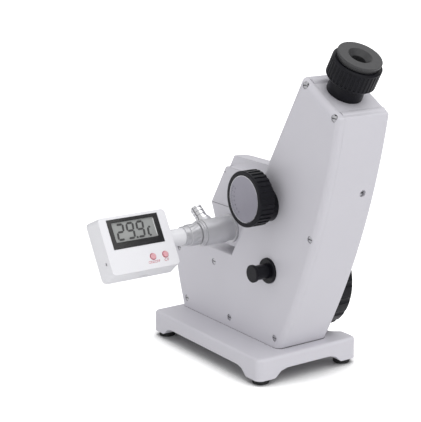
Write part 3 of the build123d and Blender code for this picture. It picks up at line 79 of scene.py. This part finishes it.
def make_camera():
    """The camera at the photograph's angle."""
    data = bpy.data.cameras.new("camera")
    data.lens = CAMERA_LENS
    data.clip_start = 0.01
    data.clip_end = 50.0
    camera = bpy.data.objects.new("camera", data)
    back = direction(CAMERA_AZIMUTH, CAMERA_ELEVATION)
    camera.location = CAMERA_AIM + back * CAMERA_DISTANCE
    camera.rotation_euler = back.to_track_quat("Z", "Y").to_euler()
    scene.collection.objects.link(camera)
    scene.camera = camera


def soft_sun(name, azimuth, elevation, spread, power):
    """An even light from a wide patch of the studio, given by its direction and width in degrees."""
    data = bpy.data.lights.new(name, "SUN")
    data.angle = math.radians(spread)
    data.energy = power
    light = bpy.data.objects.new(name, data)
    light.rotation_euler = direction(azimuth, elevation).to_track_quat("Z", "Y").to_euler()
    scene.collection.objects.link(light)


def make_world():
    """White to the camera and through glass, darker low walls in reflections, a soft light for the rest."""
    world = bpy.data.worlds.new("studio")
    world.use_nodes = True
    scene.world = world
    tree = world.node_tree
    tree.nodes.clear()
    out = tree.nodes.new("ShaderNodeOutputWorld")
    ambient = tree.nodes.new("ShaderNodeBackground")
    ambient.inputs["Color"].default_value = AMBIENT_COLOR
    ambient.inputs["Strength"].default_value = AMBIENT
    white = tree.nodes.new("ShaderNodeBackground")
    white.inputs["Color"].default_value = WHITE
    white.inputs["Strength"].default_value = BACKDROP
    walls = tree.nodes.new("ShaderNodeBackground")
    place = tree.nodes.new("ShaderNodeTexCoord")
    height = tree.nodes.new("ShaderNodeSeparateXYZ")
    tree.links.new(place.outputs["Generated"], height.inputs[0])
    shade = tree.nodes.new("ShaderNodeMapRange")
    shade.inputs["From Min"].default_value = WALL_LOW
    shade.inputs["From Max"].default_value = WALL_HIGH
    shade.inputs["To Min"].default_value = WALL_DARK
    shade.inputs["To Max"].default_value = BACKDROP
    tree.links.new(height.outputs["Z"], shade.inputs["Value"])
    tree.links.new(shade.outputs["Result"], walls.inputs["Strength"])
    path = tree.nodes.new("ShaderNodeLightPath")
    reflected = tree.nodes.new("ShaderNodeMixShader")
    tree.links.new(path.outputs["Is Glossy Ray"], reflected.inputs["Fac"])
    tree.links.new(ambient.outputs[0], reflected.inputs[1])
    tree.links.new(walls.outputs[0], reflected.inputs[2])
    seen = tree.nodes.new("ShaderNodeMath")
    seen.operation = "MAXIMUM"
    tree.links.new(path.outputs["Is Camera Ray"], seen.inputs[0])
    tree.links.new(path.outputs["Is Transmission Ray"], seen.inputs[1])
    mix = tree.nodes.new("ShaderNodeMixShader")
    tree.links.new(seen.outputs[0], mix.inputs["Fac"])
    tree.links.new(reflected.outputs[0], mix.inputs[1])
    tree.links.new(white.outputs[0], mix.inputs[2])
    tree.links.new(mix.outputs[0], out.inputs["Surface"])


def make_floor():
    """A pale floor that shows white to the camera and keeps the instrument's real shadow; an occlusion mask fades
    its white glow near the instrument, a painted shadow, and the camera sees its colour darker than the light it
    throws back.
    """
    mesh = bpy.data.meshes.new("floor")
    half = FLOOR_SIZE / 2
    corners = [(-half, -half, 0), (half, -half, 0), (half, half, 0), (-half, half, 0)]
    mesh.from_pydata(corners, [], [(0, 1, 2, 3)])
    floor = bpy.data.objects.new("floor", mesh)
    scene.collection.objects.link(floor)
    material = bpy.data.materials.new("floor_paper")
    material.use_nodes = True
    tree = material.node_tree
    tree.nodes.clear()
    out = tree.nodes.new("ShaderNodeOutputMaterial")
    diffuse = tree.nodes.new("ShaderNodeBsdfDiffuse")
    glow = tree.nodes.new("ShaderNodeEmission")
    # Painted shadow: an occlusion mask fades the white glow away near the instrument.
    painted_shadow_mask = tree.nodes.new("ShaderNodeAmbientOcclusion")
    painted_shadow_mask.samples = 8
    painted_shadow_mask.inputs["Distance"].default_value = SHADOW_REACH
    painted_shadow_fade = tree.nodes.new("ShaderNodeMapRange")
    painted_shadow_fade.inputs["From Min"].default_value = SHADOW_CORE
    painted_shadow_fade.inputs["From Max"].default_value = SHADOW_EDGE
    painted_shadow_fade.inputs["To Max"].default_value = FLOOR_LIFT
    tree.links.new(painted_shadow_mask.outputs["AO"], painted_shadow_fade.inputs["Value"])
    path = tree.nodes.new("ShaderNodeLightPath")
    paper = tree.nodes.new("ShaderNodeMapRange")
    paper.inputs["To Min"].default_value = FLOOR_ALBEDO
    paper.inputs["To Max"].default_value = FLOOR_SHADE
    tree.links.new(path.outputs["Is Camera Ray"], paper.inputs["Value"])
    tree.links.new(paper.outputs["Result"], diffuse.inputs["Color"])
    lift = tree.nodes.new("ShaderNodeMath")
    lift.operation = "MULTIPLY"
    tree.links.new(path.outputs["Is Camera Ray"], lift.inputs[0])
    tree.links.new(painted_shadow_fade.outputs["Result"], lift.inputs[1])
    tree.links.new(lift.outputs[0], glow.inputs["Strength"])
    both = tree.nodes.new("ShaderNodeAddShader")
    tree.links.new(diffuse.outputs[0], both.inputs[0])
    tree.links.new(glow.outputs[0], both.inputs[1])
    tree.links.new(both.outputs[0], out.inputs["Surface"])
    mesh.materials.append(material)


# ---- Materials --------------------------------------------------------------------------------------------
GLASS_IOR = 1.52
NOISE_LOW = 0.3
NOISE_HIGH = 0.7
# Occlusion limits for the painted shade in inner corners and gaps.
CORNER_SHADE_DARK = 0.50
CORNER_SHADE_CLEAR = 0.66


class Look:
    """A procedural material built step by step round one Principled shader."""

    def __init__(self, name, color, roughness, metallic=0.0):
        self.material = bpy.data.materials.new(name)
        self.material.use_nodes = True
        self.tree = self.material.node_tree
        self.tree.nodes.clear()
        self.out = self.add("ShaderNodeOutputMaterial")
        self.shader = self.add("ShaderNodeBsdfPrincipled")
        self.tree.links.new(self.shader.outputs[0], self.out.inputs["Surface"])
        self.color = color
        self.shader.inputs["Base Color"].default_value = (*color, 1.0)
        self.shader.inputs["Roughness"].default_value = roughness
        self.shader.inputs["Metallic"].default_value = metallic
        self.roughness = roughness
        self.place = self.add("ShaderNodeTexCoord").outputs["Object"]
        self.normal = None

    def add(self, kind):
        """A new node."""
        return self.tree.nodes.new(kind)

    def link(self, source, target):
        """A link between two sockets."""
        self.tree.links.new(source, target)

    def noise(self, size, detail=3.0, stretch=(1, 1, 1)):
        """Noise whose features are about that many metres across."""
        mapping = self.add("ShaderNodeMapping")
        self.link(self.place, mapping.inputs["Vector"])
        mapping.inputs["Scale"].default_value = stretch
        texture = self.add("ShaderNodeTexNoise")
        self.link(mapping.outputs[0], texture.inputs["Vector"])
        texture.inputs["Scale"].default_value = 1.0 / size
        texture.inputs["Detail"].default_value = detail
        return texture.outputs["Fac"]

    def ramp(self, value, low, high, start, end):
        """Maps a value between two limits on to start..end."""
        span = self.add("ShaderNodeMapRange")
        self.link(value, span.inputs["Value"])
        span.inputs["From Min"].default_value = low
        span.inputs["From Max"].default_value = high
        span.inputs["To Min"].default_value = start
        span.inputs["To Max"].default_value = end
        return span.outputs["Result"]

    def mottle(self, size, amount):
        """Slight brightness changes over the surface."""
        value = self.ramp(self.noise(size), NOISE_LOW, NOISE_HIGH, 1.0 - amount, 1.0 + amount)
        tint = self.add("ShaderNodeVectorMath")
        tint.operation = "SCALE"
        tint.inputs[0].default_value = self.color
        self.link(value, tint.inputs["Scale"])
        self.base = tint.outputs[0]
        self.link(self.base, self.shader.inputs["Base Color"])

    def blend_color(self, mask, color):
        """Another colour where the mask is 1."""
        mix = self.add("ShaderNodeMix")
        mix.data_type = "RGBA"
        self.link(mask, mix.inputs["Factor"])
        self.link(self.base, mix.inputs["A"])
        mix.inputs["B"].default_value = (*color, 1.0)
        self.base = mix.outputs["Result"]
        self.link(self.base, self.shader.inputs["Base Color"])

    def vary_roughness(self, size, amount):
        """Slightly uneven gloss."""
        low = self.roughness - amount
        high = self.roughness + amount
        value = self.ramp(self.noise(size), NOISE_LOW, NOISE_HIGH, low, high)
        self.link(value, self.shader.inputs["Roughness"])

    def soften(self, radius):
        """Edges that catch the light as if rounded by that radius."""
        bevel = self.add("ShaderNodeBevel")
        bevel.samples = 6
        bevel.inputs["Radius"].default_value = radius
        self.normal = bevel.outputs[0]
        self.link(self.normal, self.shader.inputs["Normal"])

    def bump(self, height, depth):
        """Relief of the given depth in metres from a height value."""
        node = self.add("ShaderNodeBump")
        node.inputs["Strength"].default_value = 1.0
        node.inputs["Distance"].default_value = depth
        self.link(height, node.inputs["Height"])
        if self.normal:
            self.link(self.normal, node.inputs["Normal"])
        self.normal = node.outputs[0]
        self.link(self.normal, self.shader.inputs["Normal"])

    def seam(self, reach, color):
        """Painted shade: a darker colour where an occlusion mask finds an inner corner or a narrow gap between
        pieces.
        """
        corner = self.add("ShaderNodeAmbientOcclusion")
        corner.samples = 8
        corner.inputs["Distance"].default_value = reach
        self.blend_color(self.ramp(corner.outputs["AO"], CORNER_SHADE_DARK, CORNER_SHADE_CLEAR, 1.0, 0.0), color)


def body_paint():
    """Satin light grey enamel with a fine orange peel."""
    look = Look("body_paint", (0.63, 0.62, 0.66), 0.42)
    look.mottle(0.05, 0.012)
    # Painted shade: dark grey wherever the occlusion mask finds an inner corner within 0.9 mm.
    look.seam(0.9 * MM, (0.16, 0.16, 0.17))
    look.vary_roughness(0.02, 0.04)
    look.soften(0.5 * MM)
    look.bump(look.noise(0.9 * MM, 2.0), 0.006 * MM)
    look.shader.inputs["Specular IOR Level"].default_value = 0.45
    return look.material


def black_plastic():
    """Satin black moulding with a fine grain."""
    look = Look("black_plastic", (0.006, 0.006, 0.009), 0.34)
    look.shader.inputs["Specular IOR Level"].default_value = 0.2
    look.mottle(0.004, 0.25)
    look.vary_roughness(0.003, 0.06)
    look.soften(0.25 * MM)
    look.bump(look.noise(0.35 * MM, 2.0), 0.01 * MM)
    return look.material


def rubber():
    """Matte black rubber with a dusty bloom."""
    look = Look("rubber_feet", (0.012, 0.012, 0.013), 0.75)
    look.mottle(0.002, 0.4)
    look.soften(0.3 * MM)
    look.bump(look.noise(0.3 * MM, 3.0), 0.03 * MM)
    return look.material


def turned_metal(name, color, roughness, grain, depth, metallic=1.0):
    """Metal with a fine turned or brushed grain."""
    look = Look(name, color, roughness, metallic)
    look.mottle(0.006, 0.03)
    look.vary_roughness(0.004, roughness * 0.12)
    look.soften(0.15 * MM)
    look.bump(look.noise(grain, 2.0, (1, 6, 1)), depth)
    return look.material


def chrome():
    """Bright chrome plate."""
    look = Look("chrome_plate", (0.72, 0.72, 0.74), 0.07, 1.0)
    look.mottle(0.01, 0.03)
    look.vary_roughness(0.005, 0.02)
    look.soften(0.15 * MM)
    return look.material


def glass(name, color):
    """Polished optical glass."""
    look = Look(name, color, 0.02)
    look.mottle(0.02, 0.01)
    look.shader.inputs["Transmission Weight"].default_value = 1.0
    look.shader.inputs["IOR"].default_value = GLASS_IOR
    return look.material


def mirror():
    """Silvered glass."""
    look = Look("silvered_glass", (0.9, 0.9, 0.92), 0.03, 1.0)
    look.mottle(0.01, 0.01)
    return look.material


def white_plastic():
    """Smooth white moulding."""
    look = Look("white_plastic", (0.80, 0.80, 0.82), 0.33)
    look.mottle(0.02, 0.01)
    look.vary_roughness(0.01, 0.04)
    look.soften(0.3 * MM)
    look.bump(look.noise(0.5 * MM, 2.0), 0.004 * MM)
    return look.material


def bezel_black():
    """Gloss black window print."""
    look = Look("black_bezel", (0.012, 0.012, 0.012), 0.16)
    look.mottle(0.004, 0.1)
    look.soften(0.2 * MM)
    return look.material


def lcd_glass():
    """The grey of a liquid-crystal panel."""
    look = Look("display_glass", (0.30, 0.31, 0.30), 0.22)
    look.mottle(0.008, 0.06)
    return look.material


def button_plastic():
    """Pink translucent moulding."""
    look = Look("pink_buttons", (0.74, 0.40, 0.44), 0.3)
    look.mottle(0.002, 0.06)
    look.soften(0.25 * MM)
    look.shader.inputs["Subsurface Weight"].default_value = 0.25
    look.shader.inputs["Subsurface Scale"].default_value = 0.8 * MM
    return look.material


def slot_looks():
    """A material for each of the record's slots."""
    satin = turned_metal("satin_aluminium", (0.62, 0.62, 0.64), 0.40, 0.3 * MM, 0.002 * MM, 0.6)
    return {
        "body_paint": body_paint(),
        "rubber_feet": rubber(),
        "dark_steel": turned_metal("dark_steel", (0.22, 0.22, 0.23), 0.34, 0.4 * MM, 0.004 * MM),
        "steel": turned_metal("steel", (0.55, 0.55, 0.57), 0.26, 0.4 * MM, 0.004 * MM),
        "chrome_plate": chrome(),
        "satin_aluminium": satin,
        "frame_aluminium": turned_metal("frame_aluminium", (0.55, 0.55, 0.57), 0.45, 0.8 * MM, 0.02 * MM),
        "brass_gears": turned_metal("brass_gears", (0.60, 0.42, 0.16), 0.3, 0.3 * MM, 0.005 * MM),
        "black_plastic": black_plastic(),
        "optical_glass": glass("optical_glass", (0.93, 0.97, 0.98)),
        "silvered_glass": mirror(),
        "white_plastic": white_plastic(),
        "black_bezel": bezel_black(),
        "display_glass": lcd_glass(),
        "pink_buttons": button_plastic(),
    }


def dial_lilac():
    """The dial's anodised lilac grey with a fine turned grain."""
    look = Look("dial_lilac", (0.33, 0.32, 0.37), 0.38, 0.35)
    look.mottle(0.01, 0.02)
    look.vary_roughness(0.004, 0.04)
    look.bump(look.noise(0.25 * MM, 2.0), 0.002 * MM)
    return look.material


def eye_cup_rubber():
    """The eye cup's smoother dark grey rubber."""
    look = Look("eye_cup_rubber", (0.045, 0.045, 0.047), 0.35)
    look.mottle(0.003, 0.08)
    look.soften(0.3 * MM)
    look.bump(look.noise(0.4 * MM, 2.0), 0.004 * MM)
    return look.material


def screw_steel():
    """Bright slotted screws, with painted shade darkening the slot."""
    look = Look("screw_steel", (0.52, 0.52, 0.54), 0.28, 1.0)
    look.mottle(0.002, 0.08)
    # Painted shade: near black wherever the occlusion mask finds the slot and the recess round the head.
    look.seam(0.7 * MM, (0.03, 0.03, 0.03))
    look.soften(0.15 * MM)
    return look.material


def dress_nodes(looks):
    """Every CAD node gets the look of its slot; the dial, eye cup and cover screws have their own."""
    own = {"dispersion_dial": dial_lilac(), "eye_cup": eye_cup_rubber(), "cover_screws": screw_steel()}
    for subpart in frame["record"]["subparts"]:
        name = subpart["node"]
        mesh = nodes[name].data
        mesh.materials.clear()
        mesh.materials.append(own.get(name, looks[subpart["material_slot"]]))


# ---- Detail pieces ----------------------------------------------------------------------------------------
def reach(node, axis):
    """The lowest and highest distance of a node's vertices along an axis."""
    values = [axis.dot(v.co) for v in nodes[node].data.vertices]
    return min(values), max(values)


def middle(node):
    """The middle of a node's box."""
    low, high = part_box(node)
    return (low + high) / 2


def new_piece(name, bm, material, body, place=Matrix.Identity(4)):
    """An object from a bmesh drawn in a local frame, riding on a body."""
    mesh = bpy.data.meshes.new(name)
    bmesh.ops.recalc_face_normals(bm, faces=bm.faces)
    bm.to_mesh(mesh)
    bm.free()
    mesh.transform(place)
    mesh.materials.append(material)
    piece = bpy.data.objects.new(name, mesh)
    scene.collection.objects.link(piece)
    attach(piece, body)


def prism_from(bm, outline, low, high):
    """A plate of an outline in X and Y, between two heights along Z."""
    bottom = [bm.verts.new((x, y, low)) for x, y in outline]
    top = [bm.verts.new((x, y, high)) for x, y in outline]
    bm.faces.new(list(reversed(bottom)))
    bm.faces.new(top)
    for n in range(len(outline)):
        m = (n + 1) % len(outline)
        bm.faces.new((bottom[n], bottom[m], top[m], top[n]))


# ---- Display digits ---------------------------------------------------------------------------------------
SEGMENTS = {"2": "abged", "9": "abcdfg", "c": "ged"}
READING = "299"
LCD_LIFT = 1.2 * MM
LCD_EDGE = 16.2 * MM
LCD_EDGE_WIDTH = 0.45 * MM
DIGIT_WIDTH = 6.3 * MM
DIGIT_HEIGHT = 12.2 * MM
DIGIT_STROKE = 1.45 * MM
DIGIT_PITCH = 7.9 * MM
DIGIT_LEFT = -13.6 * MM
DIGIT_LEAN = 0.10
DIGIT_THICKNESS = 0.12 * MM
BAR_GAP = 0.12
UNIT_SHIFT = 0.4 * MM
UNIT_WIDTH = 0.5
UNIT_HEIGHT = 1.1


def display_frame():
    """X to the reader's right, Y up the display and Z out of its face, from the display panel's middle."""
    out = -Vector(joints["left_key_press"]["axis"])
    right = Vector((0.0, 1.0, 0.0))
    up = out.cross(right)
    origin = middle("display_bezel")
    origin = origin + out * (reach("display_panel", out)[1] - out.dot(origin))
    turn = Matrix((right, up, out)).transposed().to_4x4()
    return Matrix.Translation(origin) @ turn


def segment_bar(bm, start, end, lean):
    """One bar of a digit, pointed at both ends, on a leaning grid."""
    along = (end - start).normalized()
    side = Vector((-along.y, along.x)) * DIGIT_STROKE / 2
    gap = DIGIT_STROKE * BAR_GAP
    first = start + along * gap
    last = end - along * gap
    tip = DIGIT_STROKE / 2
    outline = [
        first,
        first + along * tip + side,
        last - along * tip + side,
        last,
        last - along * tip - side,
        first + along * tip - side,
    ]
    prism_from(bm, [(p.x + lean * p.y, p.y) for p in outline][::-1], 0.0, DIGIT_THICKNESS)


def draw_digit(bm, symbol, corner, w, h):
    """A seven-segment symbol of width w and height h with its lower left corner at the given point."""
    ends = {
        "a": ((0, h), (w, h)),
        "b": ((w, h), (w, h / 2)),
        "c": ((w, h / 2), (w, 0)),
        "d": ((0, 0), (w, 0)),
        "e": ((0, h / 2), (0, 0)),
        "f": ((0, h), (0, h / 2)),
        "g": ((0, h / 2), (w, h / 2)),
    }
    for name in SEGMENTS[symbol]:
        start, end = (corner + Vector(p) for p in ends[name])
        segment_bar(bm, start, end, DIGIT_LEAN)


def make_digits():
    """The reading on the display: three figures, a point and a narrow unit letter."""
    bm = bmesh.new()
    width = DIGIT_WIDTH - DIGIT_STROKE
    height = DIGIT_HEIGHT - DIGIT_STROKE
    base = LCD_LIFT - height / 2
    for n, symbol in enumerate(READING):
        draw_digit(bm, symbol, Vector((DIGIT_LEFT + n * DIGIT_PITCH, base)), width, height)
    point_x = DIGIT_LEFT + 2 * DIGIT_PITCH - (DIGIT_PITCH - width) / 2
    dot = DIGIT_STROKE * 0.5
    corners = [(-dot, -dot), (dot, -dot), (dot, dot), (-dot, dot)]
    prism_from(bm, [(point_x + x, base + y) for x, y in corners], 0.0, DIGIT_THICKNESS)
    unit = Vector((DIGIT_LEFT + 3 * DIGIT_PITCH + UNIT_SHIFT, base))
    draw_digit(bm, "c", unit, width * UNIT_WIDTH, height * UNIT_HEIGHT)
    ink = Look("lcd_ink", (0.035, 0.035, 0.035), 0.4)
    ink.mottle(0.003, 0.2)
    new_piece("display_digits", bm, ink.material, "thermometer", display_frame())


def make_glass_edge_highlight():
    """A painted highlight: the bright line at the right end of the display glass."""
    bm = bmesh.new()
    right = LCD_EDGE + LCD_EDGE_WIDTH
    low = LCD_LIFT - DIGIT_HEIGHT / 2
    high = LCD_LIFT + DIGIT_HEIGHT / 2
    prism_from(bm, [(LCD_EDGE, low), (right, low), (right, high), (LCD_EDGE, high)], 0.0, DIGIT_THICKNESS)
    # Painted highlight: a near-white strip for the light on the glass edge.
    edge = Look("lcd_edge_highlight", (0.85, 0.86, 0.86), 0.2)
    edge.mottle(0.003, 0.05)
    new_piece("display_glass_edge_highlight", bm, edge.material, "thermometer", display_frame())


# ---- Print on the case and the dial -----------------------------------------------------------------------
PRINT_THICKNESS = 0.04 * MM
PRINT_DROP = 3.9 * MM
BUTTON_RING_START = 0.12 * MM
BUTTON_RING = 0.45 * MM
WORD_SIZE = 2.6 * MM
BUTTON_WORDS = (("left_button", "ON/OFF"), ("right_button", "C/F"))
RING_STEPS = 48
DIAL_TICKS = 19
DIAL_FROM = 150.0
DIAL_STEP = 5.0
TICK_HALF_WIDTH = 0.09 * MM
TICK_LONG = 0.80
TICK_SHORT = 0.84
TICK_END = 0.90
FIGURE_EVERY = 3
FIGURE_STEP = 5
FIGURE_SIZE = 1.7 * MM
FIGURE_RADIUS = 0.70
DIAL_EDGE_INNER = 0.45 * MM
DIAL_EDGE_OUTER = 0.05 * MM
DIAL_EDGE_HEIGHT = 0.16 * MM
DIAL_EDGE_STEPS = 96


def ring_from(bm, inner, outer, high, steps):
    """A flat ring of that height round the local origin."""
    turns = [2 * math.pi * n / steps for n in range(steps)]
    rows = []
    for radius, height in ((inner, 0.0), (outer, 0.0), (outer, high), (inner, high)):
        rows.append([bm.verts.new((radius * math.cos(t), radius * math.sin(t), height)) for t in turns])
    for k in range(4):
        a = rows[k]
        b = rows[(k + 1) % 4]
        for n in range(steps):
            m = (n + 1) % steps
            bm.faces.new((a[n], a[m], b[m], b[n]))


def lettering(name, words, size, material, body, place):
    """Plain printed characters, centred on the local origin."""
    curve = bpy.data.curves.new(name, "FONT")
    curve.body = words
    curve.size = size
    curve.align_x = "CENTER"
    curve.align_y = "CENTER"
    curve.extrude = PRINT_THICKNESS / 2
    draft = bpy.data.objects.new(name + "_draft", curve)
    scene.collection.objects.link(draft)
    shape = draft.evaluated_get(bpy.context.evaluated_depsgraph_get())
    mesh = bpy.data.meshes.new_from_object(shape)
    bpy.data.objects.remove(draft)
    bm = bmesh.new()
    bm.from_mesh(mesh)
    new_piece(name, bm, material, body, place)


def button_frame(button):
    """The display's frame moved to a button's middle, on the case's face."""
    place = display_frame()
    out = place.to_3x3().col[2]
    up = place.to_3x3().col[1]
    spot = middle(button)
    spot = spot + out * (reach("display_case", out)[1] - out.dot(spot))
    place.translation = spot
    return place, up


def make_button_print():
    """A red ring round each button and a plain word under it."""
    red = Look("red_print", (0.50, 0.05, 0.09), 0.45)
    red.mottle(0.002, 0.1)
    for button, words in BUTTON_WORDS:
        place, up = button_frame(button)
        bm = bmesh.new()
        low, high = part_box(button)
        radius = (high.y - low.y) / 2
        ring_from(bm, radius + BUTTON_RING_START, radius + BUTTON_RING, PRINT_THICKNESS, RING_STEPS)
        new_piece(button + "_ring", bm, red.material, "thermometer", place)
        below = Matrix.Translation(-up * PRINT_DROP) @ place
        lettering(button + "_word", words, WORD_SIZE, red.material, "thermometer", below)


def make_dial_print(edge_material):
    """Fine scale marks with small figures on the left of the dial, and a polished ring at its edge."""
    low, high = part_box("dispersion_dial")
    radius = (high.x - low.x) / 2
    turn = Matrix(((1, 0, 0), (0, 0, -1), (0, 1, 0))).to_4x4()
    centre = Vector(((low.x + high.x) / 2, low.y, (low.z + high.z) / 2))
    place = Matrix.Translation(centre) @ turn
    bm = bmesh.new()
    for n in range(DIAL_TICKS):
        angle = math.radians(DIAL_FROM + n * DIAL_STEP)
        along = Vector((math.cos(angle), math.sin(angle)))
        side = Vector((-along.y, along.x)) * TICK_HALF_WIDTH
        inner = radius * (TICK_SHORT if n % FIGURE_EVERY else TICK_LONG)
        outer = radius * TICK_END
        corners = [along * inner - side, along * outer - side, along * outer + side, along * inner + side]
        prism_from(bm, [(c.x, c.y) for c in corners], 0.0, PRINT_THICKNESS)
    ink = Look("dial_ink", (0.03, 0.03, 0.04), 0.5)
    ink.mottle(0.002, 0.2)
    new_piece("dial_ticks", bm, ink.material, "dispersion", place)
    for n in range(0, DIAL_TICKS, FIGURE_EVERY):
        angle = math.radians(DIAL_FROM + n * DIAL_STEP)
        spot = Vector((math.cos(angle), math.sin(angle), 0)) * radius * FIGURE_RADIUS
        here = place @ Matrix.Translation(spot)
        figure = str(n * FIGURE_STEP // FIGURE_EVERY)
        name = "dial_figure_%d" % n
        lettering(name, figure, FIGURE_SIZE, ink.material, "dispersion", here)
    bm = bmesh.new()
    ring_from(bm, radius - DIAL_EDGE_INNER, radius - DIAL_EDGE_OUTER, DIAL_EDGE_HEIGHT, DIAL_EDGE_STEPS)
    new_piece("dial_edge", bm, edge_material, "dispersion", place)


# ---- Everything -------------------------------------------------------------------------------------------
scene.view_settings.view_transform = "Standard"
make_camera()
make_world()
make_floor()
soft_sun("key", 110.0, 66.0, 60.0, 0.95)
soft_sun("fill", 75.0, 12.0, 90.0, 0.45)
looks = slot_looks()
dress_nodes(looks)
make_digits()
make_glass_edge_highlight()
make_button_print()
make_dial_print(looks["chrome_plate"])
